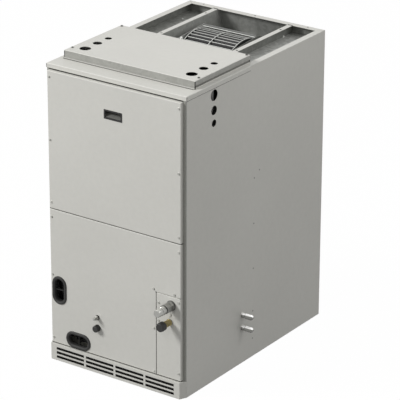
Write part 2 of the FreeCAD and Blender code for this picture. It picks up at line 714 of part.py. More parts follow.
def handle_cup():
    """Recessed pull: thin rim on the door face and a tub whose floor slopes up to the rear."""
    rim_x = HANDLE_LENGTH / 2
    rim_z = HANDLE_HEIGHT / 2
    tub_x = rim_x - HANDLE_RIM
    tub_z = rim_z - HANDLE_RIM
    lip_y = DOOR_FACE - HANDLE_PROUD
    back_y = DOOR_FACE + HANDLE_DEPTH
    rim = block((-rim_x, rim_x), (lip_y, DOOR_FACE), (HANDLE_Z - rim_z, HANDLE_Z + rim_z))
    tub = block((-tub_x, tub_x), (DOOR_FACE, back_y), (HANDLE_Z - tub_z, HANDLE_Z + tub_z))
    hollow_x = tub_x - SHEET
    low = HANDLE_Z - tub_z + SHEET
    high = HANDLE_Z + tub_z - SHEET
    mouth = prism([
        V(-hollow_x, lip_y - SHEET, low),
        V(-hollow_x, lip_y - SHEET, high),
        V(-hollow_x, back_y - SHEET, high),
        V(-hollow_x, back_y - SHEET, (low + 2 * high) / 3),
        V(-hollow_x, DOOR_FACE, low),
    ], V(2 * hollow_x, 0, 0))
    return join([rim, tub]).cut(mouth)


def lower_access_panel():
    """Lower door, notched for the line plate, with drain, stub and screw holes."""
    notch_x = PLATE_LEFT
    outline = [
        (-DOOR_HALF, LOWER_BOTTOM), (notch_x, LOWER_BOTTOM), (notch_x, PLATE_TOP),
        (DOOR_HALF, PLATE_TOP), (DOOR_HALF, LOWER_TOP), (-DOOR_HALF, LOWER_TOP),
    ]
    inner = [
        (-DOOR_HALF + SHEET, LOWER_BOTTOM + SHEET), (notch_x - SHEET, LOWER_BOTTOM + SHEET),
        (notch_x - SHEET, PLATE_TOP + SHEET), (DOOR_HALF - SHEET, PLATE_TOP + SHEET),
        (DOOR_HALF - SHEET, LOWER_TOP - SHEET), (-DOOR_HALF + SHEET, LOWER_TOP - SHEET),
    ]
    length = DRAIN_BLOCK_LENGTH + 2 * (BEZEL_PLAY + BEZEL_WALL + CAP_PLAY)
    width = DRAIN_BLOCK_WIDTH + 2 * (BEZEL_PLAY + BEZEL_WALL + CAP_PLAY)
    through = (DOOR_FACE - SHEET, DOOR_FACE + 2 * SHEET)
    nut_corner = STUB_NUT_RADIUS * 2 / math.sqrt(3)
    cuts = [
        pan_hollow(inner),
        stadium_y(DRAIN_X, DRAIN_Z, length, width, *through),
        stadium_y(SIDE_DRAIN_X, SIDE_DRAIN_Z, length, width, *through, upright=True),
        rod_y(STUB_X, TEST_Z, nut_corner + STUB_PLAY, *through),
        rod_y(STUB_X, TAP_Z, TAP_CAP_RADIUS + STUB_PLAY, *through),
    ]
    return pan_panel(outline).cut(cuts + screw_cuts(lower_screw_places()))


def drain_bezel(x, z, upright):
    """Oval rim on the door face with a sleeve through the door and a thin web across the middle."""
    length = DRAIN_BLOCK_LENGTH + 2 * (BEZEL_PLAY + BEZEL_WALL)
    width = DRAIN_BLOCK_WIDTH + 2 * (BEZEL_PLAY + BEZEL_WALL)
    rim_y = DOOR_FACE - BEZEL_PROUD
    rim = stadium_y(x, z, length + 2 * BEZEL_RIM, width + 2 * BEZEL_RIM, rim_y, DOOR_FACE, upright)
    rim = rim.makeFillet(BEZEL_PROUD / 2, front_edges(rim, rim_y))
    sleeve = stadium_y(x, z, length, width, DOOR_FACE, DOOR_FACE + BEZEL_SLEEVE, upright)
    mouth_length = length - 2 * BEZEL_WALL
    mouth_width = width - 2 * BEZEL_WALL
    mouth_y = (rim_y - SHEET, DOOR_FACE + BEZEL_SLEEVE + SHEET)
    mouth = stadium_y(x, z, mouth_length, mouth_width, *mouth_y, upright)
    half = (width - BEZEL_WALL) / 2
    along_x, along_z = (half, BEZEL_WEB / 2) if upright else (BEZEL_WEB / 2, half)
    web_y = (rim_y + BEZEL_WEB_SETBACK, DOOR_FACE + BEZEL_SLEEVE)
    web = block((x - along_x, x + along_x), web_y, (z - along_z, z + along_z))
    return join([join([rim, sleeve]).cut(mouth), web])


def line_plate():
    """Small plate round the refrigerant lines, beside the lower door."""
    x0 = PLATE_LEFT + PLATE_SEAM
    z1 = PLATE_TOP - PLATE_SEAM
    panel = pan_panel(rectangle(x0, DOOR_HALF, LOWER_BOTTOM, z1))
    hollow = pan_hollow(rectangle(x0 + SHEET, DOOR_HALF - SHEET, LOWER_BOTTOM + SHEET, z1 - SHEET))
    through = (DOOR_FACE - SHEET, DOOR_FACE + 2 * SHEET)
    holes = [
        rod_y(SUCTION_X, SUCTION_Z, SUCTION_RADIUS + GROMMET_WALL, *through),
        rod_y(LIQUID_X, LIQUID_Z, LIQUID_RADIUS + GROMMET_WALL, *through),
        rod_y(PLUG_X, PLUG_Z, PLUG_RADIUS - GROMMET_LIP, *through),
    ]
    return panel.cut([hollow] + holes + screw_cuts(plate_screw_places()))


def grommet(x, z, bore):
    """Rubber ring in the line plate: a lip in front of the sheet and a sleeve through it."""
    lip = rod_y(x, z, bore + GROMMET_WALL + GROMMET_LIP, DOOR_FACE - GROMMET_LIP, DOOR_FACE)
    sleeve = rod_y(x, z, bore + GROMMET_WALL - CAP_PLAY, DOOR_FACE, DOOR_FACE + SHEET + GROMMET_LIP)
    hole = rod_y(x, z, bore + CAP_PLAY, DOOR_FACE - 2 * GROMMET_LIP, DOOR_FACE + 2 * (SHEET + GROMMET_LIP))
    return join([lip, sleeve]).cut(hole)


def line_plug():
    """Round blanking plug between the two lines."""
    head = rod_y(PLUG_X, PLUG_Z, PLUG_RADIUS, DOOR_FACE - GROMMET_LIP, DOOR_FACE)
    head = head.makeFillet(GROMMET_LIP / 2, front_edges(head, DOOR_FACE - GROMMET_LIP))
    stem_radius = PLUG_RADIUS - GROMMET_LIP - CAP_PLAY
    return join([head, rod_y(PLUG_X, PLUG_Z, stem_radius, DOOR_FACE, DOOR_FACE + SHEET + GROMMET_LIP)])


def cabinet_screws():
    """Screws of the line plate and of the two side shelves."""
    screws = [screw_y(x, z, DOOR_FACE) for x, z in plate_screw_places()]
    for side in (-1, 1):
        x = side * (RAIL_WEB + INNER) / 2
        y = REAR - SHELF_SCREW_SETBACK
        screws.append(rod_z(x, y, SCREW_HEAD_RADIUS, SHELF_TOP, SHELF_TOP + SCREW_HEAD))
    return group(screws)


# Refrigerant lines
def suction_fitting():
    """Stout round fitting: hexagon, sleeve and end, each behind a groove."""
    x = SUCTION_X
    z = SUCTION_Z
    radius = SUCTION_BODY_RADIUS
    base_y = DOOR_FACE - GROMMET_LIP
    nut_y = base_y - SUCTION_GROOVE
    sleeve_y = nut_y - SUCTION_NUT - SUCTION_GROOVE
    end_y = sleeve_y - SUCTION_SLEEVE - SUCTION_GROOVE
    tip_y = end_y - SUCTION_END
    core = rod_y(x, z, SUCTION_GROOVE_RADIUS, end_y, base_y)
    nut = hexagon_y(x, z, 2 * radius, nut_y - SUCTION_NUT, nut_y)
    sleeve = rod_y(x, z, radius, sleeve_y - SUCTION_SLEEVE, sleeve_y)
    end = rod_y(x, z, radius, tip_y, end_y)
    end = end.makeFillet(SUCTION_GROOVE, front_edges(end, tip_y))
    return join([core, nut, sleeve, end])


def suction_line():
    """Copper line from the grommet back to an upright header with stubs into the coil."""
    front = DOOR_FACE - GROMMET_LIP
    line = rod_y(SUCTION_X, SUCTION_Z, SUCTION_RADIUS, front, HEADER_Y)
    low = LIQUID_Z + VALVE_SIZE / 2 + HEADER_BELOW
    high = SUCTION_Z + HEADER_ABOVE
    header = rod_z(SUCTION_X, HEADER_Y, HEADER_RADIUS, low, high)
    stubs = []
    for step in range(HEADER_STUB_COUNT):
        z = low + (step + 0.5) * (high - low) / HEADER_STUB_COUNT
        stubs.append(rod_y(SUCTION_X, z, HEADER_STUB_RADIUS, HEADER_Y, COIL_Y0 - COIL_PLATE))
    return join([header, line] + stubs)


def liquid_fitting():
    """Brass body with a hexagon and a spigot for the cap."""
    y0 = DOOR_FACE - GROMMET_LIP
    y1 = y0 - LIQUID_BODY
    hexagon = hexagon_y(LIQUID_X, LIQUID_Z, 2 * LIQUID_BODY_RADIUS, y1, y1 + LIQUID_BODY / 2)
    body = rod_y(LIQUID_X, LIQUID_Z, LIQUID_BODY_RADIUS * 0.86, y0, y1 + LIQUID_BODY / 2)
    spigot = rod_y(LIQUID_X, LIQUID_Z, LIQUID_RADIUS, y1, y1 - LIQUID_CAP + CAP_WALL + CAP_PLAY)
    return join([hexagon, body, spigot])


def screw_cap(x, z, y, radius, length, bore):
    """Round cap that faces -Y, with a rounded rim and a blind bore behind."""
    body = rod_y(x, z, radius, y - length, y)
    body = body.makeFillet(CAP_WALL, front_edges(body, y - length))
    return body.cut(rod_y(x, z, bore, y - length + CAP_WALL, y + CAP_WALL))


def liquid_cap():
    """Black cap on the liquid fitting's spigot."""
    y = DOOR_FACE - GROMMET_LIP - LIQUID_BODY
    return screw_cap(LIQUID_X, LIQUID_Z, y, LIQUID_CAP_RADIUS, LIQUID_CAP, LIQUID_RADIUS + CAP_PLAY)


def liquid_line():
    """Copper line from the liquid fitting back to the expansion valve."""
    return rod_y(LIQUID_X, LIQUID_Z, LIQUID_RADIUS, DOOR_FACE - GROMMET_LIP, HEADER_Y - VALVE_SIZE / 2)


def expansion_valve():
    """Brass valve block with its round power head below and a feed stub into the coil."""
    half = VALVE_SIZE / 2
    low = V(LIQUID_X - half, HEADER_Y - half, LIQUID_Z - half)
    body = Part.makeBox(VALVE_SIZE, VALVE_SIZE, VALVE_SIZE, low)
    head_z = LIQUID_Z - half - VALVE_HEAD
    neck = rod_z(LIQUID_X, HEADER_Y, LIQUID_RADIUS, head_z, LIQUID_Z - half)
    head = rod_z(LIQUID_X, HEADER_Y, VALVE_HEAD_RADIUS, head_z - VALVE_HEAD, head_z)
    feed = rod_y(LIQUID_X, LIQUID_Z, LIQUID_RADIUS, HEADER_Y + half, COIL_Y0 - COIL_PLATE)
    return join([body, neck, head, feed])


# Stubs and ports
def test_stub():
    """Bare test stub from the coil plate out through the lower door, with a hexagon and a tip."""
    tip = DOOR_FACE - STUB_REACH
    tube = rod_y(STUB_X, TEST_Z, STUB_RADIUS, tip, COIL_Y0 - COIL_PLATE)
    nut = hexagon_y(STUB_X, TEST_Z, 2 * STUB_NUT_RADIUS, tip + STUB_REACH * 0.35, tip + STUB_REACH * 0.8)
    return join([tube, nut])


def tap_stub():
    """Tube under the black cap."""
    tip = DOOR_FACE - TAP_CAP + CAP_WALL + CAP_PLAY
    return rod_y(STUB_X, TAP_Z, STUB_RADIUS, tip, COIL_Y0 - COIL_PLATE)


def tap_cap():
    """Black cap on the tap stub, standing on the lower door."""
    return screw_cap(STUB_X, TAP_Z, DOOR_FACE, TAP_CAP_RADIUS, TAP_CAP, STUB_RADIUS + CAP_PLAY)


def port_stubs():
    """Two tubes through the right side, each with a collar on the outer face."""
    y = FRONT + PORT_FROM_FRONT
    tip = HALF + PORT_COLLAR + PORT_NECK + PORT_CAP / 2
    stubs = []
    for z in PORT_HEIGHTS:
        collar = rod_x(y, z, PORT_COLLAR_RADIUS, HALF, HALF + PORT_COLLAR)
        stubs.append(join([collar, rod_x(y, z, PORT_RADIUS, LINER_FACE, tip)]))
    return group(stubs)


def port_cap(z):
    """Round cap on a side port, with a rounded rim."""
    y = FRONT + PORT_FROM_FRONT
    x0 = HALF + PORT_COLLAR + PORT_NECK
    x1 = x0 + PORT_CAP
    body = rod_x(y, z, PORT_CAP_RADIUS, x0, x1)
    rim = [e for e in body.Edges if all(abs(v.X - x1) < SHEET / 100 for v in e.Vertexes)]
    bore = rod_x(y, z, PORT_RADIUS + CAP_PLAY, x0 - SHEET, x0 + PORT_CAP / 2 + CAP_PLAY)
    return body.makeFillet(CAP_WALL, rim).cut(bore)


# Supply opening
def supply_rails():
    """Two folded rails along the outlet bay, each a deep web and a top flange with two duct holes."""
    rails = []
    for side in (-1, 1):
        web_x = (side * RAIL_WEB, side * (RAIL_WEB + SHEET))
        web = block(web_x, (BAY_FRONT, REAR - SHEET), (BAY_FLOOR, HEIGHT - SHEET))
        flange_y = (BAY_FRONT, REAR - TOP_FLANGE - MITRE_GAP)
        flange = block((side * RAIL_WEB, side * (RAIL_WEB + RAIL_FLANGE)), flange_y, (HEIGHT - SHEET, HEIGHT))
        hole_x = side * RAIL_SPACING / 2
        hole_z = (HEIGHT - 2 * SHEET, HEIGHT + SHEET)
        hole_ys = (REAR - RAIL_HOLE_FRONT, REAR - RAIL_HOLE_REAR)
        holes = [rod_z(hole_x, y, RAIL_HOLE_RADIUS, *hole_z) for y in hole_ys]
        rails.append(join([web, flange]).cut(holes))
    return group(rails)


def side_shelves():
    """Shallow floors between the rails and the cabinet sides."""
    x = (RAIL_WEB + SHEET, INNER)
    y = (BAY_FRONT, REAR - SHEET)
    z = (SHELF_TOP - SHEET, SHELF_TOP)
    return group([block((side * x[0], side * x[1]), y, z) for side in (-1, 1)])


def bay_front_wall():
    """Upright sheet that closes the front of the outlet bay."""
    return block((-INNER, INNER), (BAY_FRONT - SHEET, BAY_FRONT), (BAY_FLOOR - SHEET, HEIGHT - SHEET))


def outlet_deck():
    """Floor of the outlet bay, open round the blower housing."""
    edge = RAIL_WEB + SHEET
    deck = block((-edge, edge), (BAY_FRONT, REAR - SHEET), (BAY_FLOOR - SHEET, BAY_FLOOR))
    mouth_x = HOUSING_FACE + 2 * SHEET
    mouth_rear = AXIS_Y + scroll_radius(90.0 - CUTOFF_ANGLE) + SHEET + SCROLL_MARGIN + SHEET
    mouth_y = (BAY_FRONT - SHEET, mouth_rear)
    return deck.cut(block((-mouth_x, mouth_x), mouth_y, (BAY_FLOOR - 2 * SHEET, BAY_FLOOR + SHEET)))


# Blower
def scroll_radius(turn):
    """Inside radius of the scroll, which grows evenly with the angle in degrees from the cutoff."""
    return SCROLL_START_RADIUS + SCROLL_GROWTH * turn


def scroll_point(turn, offset, x):
    """Point on the scroll; the turn runs from the top over the rear and the bottom to the front."""
    angle = math.radians(CUTOFF_ANGLE + turn)
    radius = scroll_radius(turn) + offset
    return V(x, AXIS_Y + radius * math.sin(angle), AXIS_Z + radius * math.cos(angle))


def scroll_arcs(offset, x):
    """Arcs along the scroll from the cutoff to the front."""
    count = math.ceil(SCROLL_END / SCROLL_STEP)
    step = SCROLL_END / count
    arcs = []
    for index in range(count):
        turns = (index * step, (index + 0.5) * step, (index + 1) * step)
        arcs.append(Part.Arc(*[scroll_point(turn, offset, x) for turn in turns]).toShape())
    return arcs


def line(start, end):
    """Straight edge."""
    return Part.LineSegment(start, end).toShape()


def scroll_wrap():
    """Rolled scroll sheet between the side plates, hemmed at the cutoff and straight up at the front."""
    x = -HOUSING_FACE
    inside_end = scroll_point(SCROLL_END, 0, x)
    outside_end = scroll_point(SCROLL_END, SHEET, x)
    inside_top = V(x, inside_end.y, OUTLET_TOP)
    outside_top = V(x, outside_end.y, OUTLET_TOP)
    inside = scroll_arcs(0, x)
    outside = scroll_arcs(SHEET, x)
    ends = [
        line(inside_end, inside_top), line(inside_top, outside_top), line(outside_top, outside_end),
        line(scroll_point(0, SHEET, x), scroll_point(0, 0, x)),
    ]
    edges = Part.__sortEdges__(inside + outside + ends)
    sheet = Part.Face(Part.Wire(edges)).extrude(V(2 * HOUSING_FACE, 0, 0))
    hem = scroll_point(0, CUTOFF_HEM, 0)
    return join([sheet, rod_x(hem.y, hem.z, CUTOFF_HEM, -HOUSING_FACE, HOUSING_FACE)])


def blower_plate(side):
    """Housing side: the scroll outline with a margin, open at the inlet."""
    x = side * HOUSING_FACE
    reach = SHEET + SCROLL_MARGIN
    start = scroll_point(0, reach, x)
    end = scroll_point(SCROLL_END, reach, x)
    top = V(x, end.y, OUTLET_TOP)
    edges = Part.__sortEdges__(scroll_arcs(reach, x) + [line(end, top), line(top, start)])
    plate = Part.Face(Part.Wire(edges)).extrude(V(side * SHEET, 0, 0))
    hole_x = (side * (HOUSING_FACE - SHEET), side * (HOUSING_FACE + 2 * SHEET))
    hole = rod_x(AXIS_Y, AXIS_Z, MOUTH_RADIUS + SHEET, *hole_x)
    return plate.cut(hole)


def turned(points, side):
    """Solid of revolution about the blower axis from X and radius pairs."""
    profile = [V(side * x, AXIS_Y, AXIS_Z + radius) for x, radius in points]
    face = Part.Face(Part.makePolygon(profile + [profile[0]]))
    return face.revolve(V(0, AXIS_Y, AXIS_Z), V(1, 0, 0), 360)


def inlet_rings():
    """Flared rings on both inlets, each a flange on the plate and a cone towards the wheel."""
    flange = HOUSING_FACE + SHEET
    tip = WHEEL_WIDTH / 2 - SHEET
    profile = [
        (flange, INLET_RADIUS), (flange + SHEET, INLET_RADIUS), (flange + SHEET, MOUTH_RADIUS - SHEET),
        (tip, THROAT_RADIUS), (tip, THROAT_RADIUS + SHEET), (flange, MOUTH_RADIUS),
    ]
    return group([turned(profile, side) for side in (-1, 1)])


def wheel_disc():
    """Centre plate of the wheel with its hub, bored for the shaft."""
    half = WHEEL_DISC / 2
    disc = rod_x(AXIS_Y, AXIS_Z, WHEEL_RADIUS, -half, half)
    hub = rod_x(AXIS_Y, AXIS_Z, HUB_RADIUS, half, half + HUB_LENGTH)
    bore = rod_x(AXIS_Y, AXIS_Z, SHAFT_RADIUS + SHAFT_CLEARANCE, -WHEEL_DISC, HUB_LENGTH + 2 * WHEEL_DISC)
    return join([disc, hub]).cut(bore)


def wheel_rings():
    """Rings that close the two ends of the wheel."""
    outer = WHEEL_WIDTH / 2
    inner = outer - WHEEL_RING
    profile = [(inner, BLADE_ROOT), (outer, BLADE_ROOT), (outer, WHEEL_RADIUS), (inner, WHEEL_RADIUS)]
    return group([turned(profile, side) for side in (-1, 1)])


def wheel_blades():
    """Forward-curved blades on both sides of the disc, standing between disc and rings."""
    tip = WHEEL_RADIUS - BLADE_SHEET
    root = BLADE_ROOT + BLADE_SHEET
    middle = (tip + root) / 2
    x0 = WHEEL_DISC / 2
    x1 = WHEEL_WIDTH / 2 - WHEEL_RING

    def at(radius, degrees, offset):
        angle = math.radians(degrees)
        y = AXIS_Y + radius * math.sin(angle) + offset * math.cos(angle)
        return V(x0, y, AXIS_Z + radius * math.cos(angle) - offset * math.sin(angle))

    half = BLADE_SHEET / 2
    front = [at(root, 0, half), at(middle, BLADE_SWEEP / 2, half - BLADE_BOW), at(tip, BLADE_SWEEP, half)]
    back = [at(tip, BLADE_SWEEP, -half), at(middle, BLADE_SWEEP / 2, -half - BLADE_BOW), at(root, 0, -half)]
    edges = [
        Part.Arc(*front).toShape(), line(front[2], back[0]),
        Part.Arc(*back).toShape(), line(back[2], front[0]),
    ]
    right = Part.Face(Part.Wire(edges)).extrude(V(x1 - x0, 0, 0))
    left = right.translated(V(-x1 - x0, 0, 0))
    axis = V(0, AXIS_Y, AXIS_Z)
    blades = []
    for index in range(BLADE_COUNT):
        degrees = index * 360.0 / BLADE_COUNT
        blades += [half_blade.rotated(axis, V(1, 0, 0), degrees) for half_blade in (right, left)]
    return group(blades)


def blower_shaft():
    """Shaft from the motor through the hub."""
    end = WHEEL_DISC / 2 + HUB_LENGTH
    return rod_x(AXIS_Y, AXIS_Z, SHAFT_RADIUS, MOTOR_FACE - SHAFT_SEAT, end)


def blower_motor():
    """Motor in the left inlet, with rounded ends, a boss and a bearing bore for the shaft."""
    shoulder = MOTOR_FACE - MOTOR_BOSS
    body = rod_x(AXIS_Y, AXIS_Z, MOTOR_RADIUS, shoulder - MOTOR_LENGTH, shoulder)
    rims = [e for e in body.Edges if len(e.Vertexes) == 1]
    body = body.makeFillet(MOTOR_EDGE, rims)
    boss = rod_x(AXIS_Y, AXIS_Z, MOTOR_BOSS_RADIUS, shoulder - SHEET, MOTOR_FACE)
    bore = rod_x(AXIS_Y, AXIS_Z, SHAFT_RADIUS + SHAFT_CLEARANCE, MOTOR_FACE - SHAFT_SEAT, MOTOR_FACE + SHEET)
    return join([body, boss]).cut(bore)


def motor_bracket():
    """Band round the motor with three arms that stand on the left inlet ring."""
    plane = HOUSING_FACE + 2 * SHEET
    inner = MOTOR_RADIUS + BAND_PLAY
    outer = inner + BAND_WALL
    end = plane + BAND_WIDTH
    band = turned([(plane, inner), (end, inner), (end, outer), (plane, outer)], -1)
    axis = V(0, AXIS_Y, AXIS_Z)
    pieces = [band]
    for degrees in ARM_ANGLES:
        z = (AXIS_Z + outer - BAND_WALL / 2, AXIS_Z + INLET_RADIUS)
        arm = block((-plane, -plane - ARM_SHEET), (AXIS_Y - ARM_WIDTH / 2, AXIS_Y + ARM_WIDTH / 2), z)
        pieces.append(arm.rotated(axis, V(1, 0, 0), degrees))
    return join(pieces)


def hanger(side, y, z):
    """Folded bracket between a housing plate and the rail beside it."""
    x0 = HOUSING_FACE + SHEET
    ys = (y - HANGER_WIDTH / 2, y + HANGER_WIDTH / 2)
    top = z + HANGER_HEIGHT
    web = block((side * x0, side * RAIL_WEB), ys, (top - HANGER_SHEET, top))
    near = block((side * x0, side * (x0 + HANGER_SHEET)), ys, (z, top))
    far = block((side * (RAIL_WEB - HANGER_SHEET), side * RAIL_WEB), ys, (z, top))
    return join([web, near, far])


def blower_hangers():
    """Two hangers on each side of the blower housing."""
    radius = INLET_RADIUS + HANGER_OFFSET
    angle = math.radians(HANGER_ANGLE)
    rear = (AXIS_Y + radius * math.sin(angle), AXIS_Z + radius * math.cos(angle))
    front = (SCROLL_FRONT + HANGER_FRONT_SETBACK, rear[1])
    return group([hanger(side, *place) for side in (-1, 1) for place in (front, rear)])


# Controls
def control_panel():
    """Upright sheet across the upper compartment that carries the controls."""
    x = (-LINER_FACE, LINER_FACE)
    low = HEIGHT - CONTROL_PANEL_LOW
    sheet = block(x, (CONTROL_Y - SHEET, CONTROL_Y), (low, HEIGHT - CONTROL_PANEL_HIGH))
    foot = block(x, (CONTROL_Y - SHEET, CONTROL_Y + CONTROL_FLANGE), (low, low + SHEET))
    return join([sheet, foot])


def control_box():
    """Open-fronted steel box."""
    half = BOX_WIDTH / 2
    outer = block((-half, half), (BOX_BACK - BOX_DEPTH, BOX_BACK), (BOX_TOP - BOX_HEIGHT, BOX_TOP))
    inner = half - SHEET
    z = (BOX_TOP - BOX_HEIGHT + SHEET, BOX_TOP - SHEET)
    return outer.cut(block((-inner, inner), (BOX_BACK - BOX_DEPTH - SHEET, BOX_BACK - SHEET), z))


def control_board():
    """Circuit board on four standoffs, with a row of relays."""
    width, height, thick = BOARD
    x = -BOARD_OFFSET
    z = BOX_TOP - BOX_HEIGHT / 2
    back = BOX_BACK - SHEET
    face = back - BOARD_STANDOFF - thick
    board = block((x - width / 2, x + width / 2), (face, face + thick), (z - height / 2, z + height / 2))
    pieces = [board]
    for side in (-1, 1):
        for end in (-1, 1):
            px = x + side * (width / 2 - BOARD_STANDOFF)
            pz = z + end * (height / 2 - BOARD_STANDOFF)
            pieces.append(rod_y(px, pz, BOARD_STANDOFF_RADIUS, face + thick, back))
    relay = height / 5
    for step in (-1, 0, 1):
        px = x + step * width / 4
        pieces.append(block((px - relay / 2, px + relay / 2), (face - relay, face), (z, z + relay)))
    return join(pieces)


def transformer():
    """Laminated core with a wound bobbin."""
    width, depth, height = TRANSFORMER
    x = TRANSFORMER_OFFSET
    z = BOX_TOP - BOX_HEIGHT / 2
    back = BOX_BACK - SHEET
    core = block((x - width / 2, x + width / 2), (back - depth * 0.6, back), (z - height / 2, z + height / 2))
    coil = block((x - width / 3, x + width / 3), (back - depth, back), (z - height / 3, z + height / 3))
    return join([core, coil])


# Coil, pans and filter
def coil_fins(side):
    """Fins of one leaning slab; the lowest corner of each stands on the pan floor."""
    lean = V(-math.sin(COIL_TILT), 0, math.cos(COIL_TILT))
    across = V(math.cos(COIL_TILT), 0, math.sin(COIL_TILT))
    foot = V(COIL_APEX_GAP / 2 + COIL_LENGTH * math.sin(COIL_TILT), COIL_Y0, PAN_FLOOR)
    corners = [
        foot, foot + across * COIL_THICKNESS,
        foot + across * COIL_THICKNESS + lean * COIL_LENGTH, foot + lean * COIL_LENGTH,
    ]
    fin = prism([V(side * p.x, p.y, p.z) for p in corners], V(0, FIN_SHEET, 0))
    gaps = int((COIL_Y1 - COIL_Y0) // FIN_PITCH)
    step = (COIL_Y1 - COIL_Y0 - FIN_SHEET) / gaps
    return [fin.translated(V(0, index * step, 0)) for index in range(gaps + 1)]


def coil_slabs():
    """The finned slabs of the coil, which lean together at the top."""
    return group(coil_fins(-1) + coil_fins(1))


def coil_end_plates():
    """Front and rear plates of the coil and the cap along its apex."""
    plates = []
    for y0, y1 in ((COIL_Y0 - COIL_PLATE, COIL_Y0), (COIL_Y1, COIL_Y1 + COIL_PLATE)):
        plates.append(block((-COIL_PLATE_HALF, COIL_PLATE_HALF), (y0, y1), (PAN_FLOOR, COIL_TOP)))
    cap_half = COIL_APEX_GAP / 2 + COIL_THICKNESS * math.cos(COIL_TILT)
    plates.append(block((-cap_half, cap_half), (COIL_Y0, COIL_Y1), (COIL_TOP, COIL_TOP + COIL_PLATE)))
    return group(plates)


def return_bends():
    """Hairpin bends on the front plate, following the lean of both slabs."""
    lean = V(-math.sin(COIL_TILT), 0, math.cos(COIL_TILT))
    across = V(math.cos(COIL_TILT), 0, math.sin(COIL_TILT))
    foot = V(COIL_APEX_GAP / 2 + COIL_LENGTH * math.sin(COIL_TILT), COIL_Y0 - COIL_PLATE, PAN_FLOOR)
    radius = BEND_PITCH / 4
    first = (COIL_LENGTH - (BEND_COUNT - 1) * BEND_PITCH) / 2
    bends = []
    for side in (-1, 1):
        for index in range(BEND_COUNT):
            centre = foot + across * (COIL_THICKNESS / 2) + lean * (first + index * BEND_PITCH)
            centre = V(side * centre.x, centre.y, centre.z)
            normal = V(side * across.x, 0, across.z)
            ring = Part.makeTorus(radius, BEND_TUBE_RADIUS, centre, normal)
            keep = radius + 2 * BEND_TUBE_RADIUS
            front = Part.makeBox(2 * keep, keep, 2 * keep, centre - V(keep, keep, keep))
            bends.append(ring.common(front))
    return group(bends)


def drain_block(x, z, y1, upright):
    """Port block behind a bezel: an oval bar with two blind ports in its front face."""
    y0 = DOOR_FACE + DRAIN_RECESS
    body = stadium_y(x, z, DRAIN_BLOCK_LENGTH, DRAIN_BLOCK_WIDTH, y0, y1, upright)
    shift = (DRAIN_BLOCK_LENGTH - DRAIN_BLOCK_WIDTH) / 2
    ports = []
    for side in (-1, 1):
        dx, dz = (0, side * shift) if upright else (side * shift, 0)
        ports.append(rod_y(x + dx, z + dz, DRAIN_PORT_RADIUS, y0 - SHEET, y0 + DRAIN_PORT_DEPTH))
    return body.cut(ports)


def drain_ports():
    """Port blocks of both pans, each standing on the front of its pan."""
    return group([
        drain_block(DRAIN_X, DRAIN_Z, COIL_Y0 - PAN_OVERHANG, False),
        drain_block(SIDE_DRAIN_X, SIDE_DRAIN_Z, COIL_Y0 - SIDE_PAN_OVERHANG, True),
    ])


def drain_pan():
    """Trough round the foot of the coil, open in the middle for the air."""
    y0 = COIL_Y0 - PAN_OVERHANG
    y1 = COIL_Y1 + PAN_OVERHANG
    z = (PAN_BOTTOM, PAN_BOTTOM + PAN_HEIGHT)
    above = (PAN_FLOOR, z[1] + PAN_WALL)
    outer = block((-PAN_HALF, PAN_HALF), (y0, y1), z)
    wet_x = PAN_HALF - PAN_WALL
    wet = block((-wet_x, wet_x), (y0 + PAN_WALL, y1 - PAN_WALL), above)
    rim_x = PAN_HALF - PAN_TROUGH
    rim_y = (y0 + PAN_TROUGH / 2, y1 - PAN_TROUGH / 2)
    rim = block((-rim_x, rim_x), rim_y, z)
    mouth_x = rim_x - PAN_WALL
    mouth_y = (rim_y[0] + PAN_WALL, rim_y[1] - PAN_WALL)
    mouth = block((-mouth_x, mouth_x), mouth_y, (z[0] - PAN_WALL, z[1] + PAN_WALL))
    return join([outer.cut(wet), rim]).cut(mouth)


def side_drain_pan():
    """Upright tray on the left liner for the lying-down position, with a bridge behind its port block."""
    x0 = -LINER_FACE
    x1 = -COIL_PLATE_HALF - SIDE_PAN_GAP
    y = (COIL_Y0 - SIDE_PAN_OVERHANG, COIL_Y1)
    z = (SIDE_DRAIN_Z - SIDE_PAN_HEIGHT / 2, SIDE_DRAIN_Z + SIDE_PAN_HEIGHT / 2)
    outer = block((x0, x1), y, z)
    hollow_y = (y[0] + PAN_WALL, y[1] - PAN_WALL)
    hollow = block((x0 + PAN_WALL, x1 + PAN_WALL), hollow_y, (z[0] + PAN_WALL, z[1] - PAN_WALL))
    bridge_x = (x0, SIDE_DRAIN_X + DRAIN_BLOCK_WIDTH / 2)
    bridge_half = DRAIN_BLOCK_LENGTH / 2 + PAN_WALL
    bridge_z = (SIDE_DRAIN_Z - bridge_half, SIDE_DRAIN_Z + bridge_half)
    bridge = block(bridge_x, (y[0], y[0] + PAN_WALL), bridge_z)
    return join([outer.cut(hollow), bridge])


def support_rails():
    """Channels on both sides: the pan stands on the upper leg, the filter slides on the lower one."""
    y = (FRONT + LINER_SETBACK, REAR - REAR_FLANGE - SHEET)
    rails = []
    for side in (-1, 1):
        inner_x = INNER - SUPPORT_LEDGE
        outer = block((side * inner_x, side * INNER), y, (FILTER_SEAT - SHEET, PAN_BOTTOM))
        hollow_x = (side * (inner_x - SHEET), side * (INNER - SHEET))
        hollow = block(hollow_x, y, (FILTER_SEAT, PAN_BOTTOM - SHEET))
        rails.append(outer.cut(hollow))
    return group(rails)


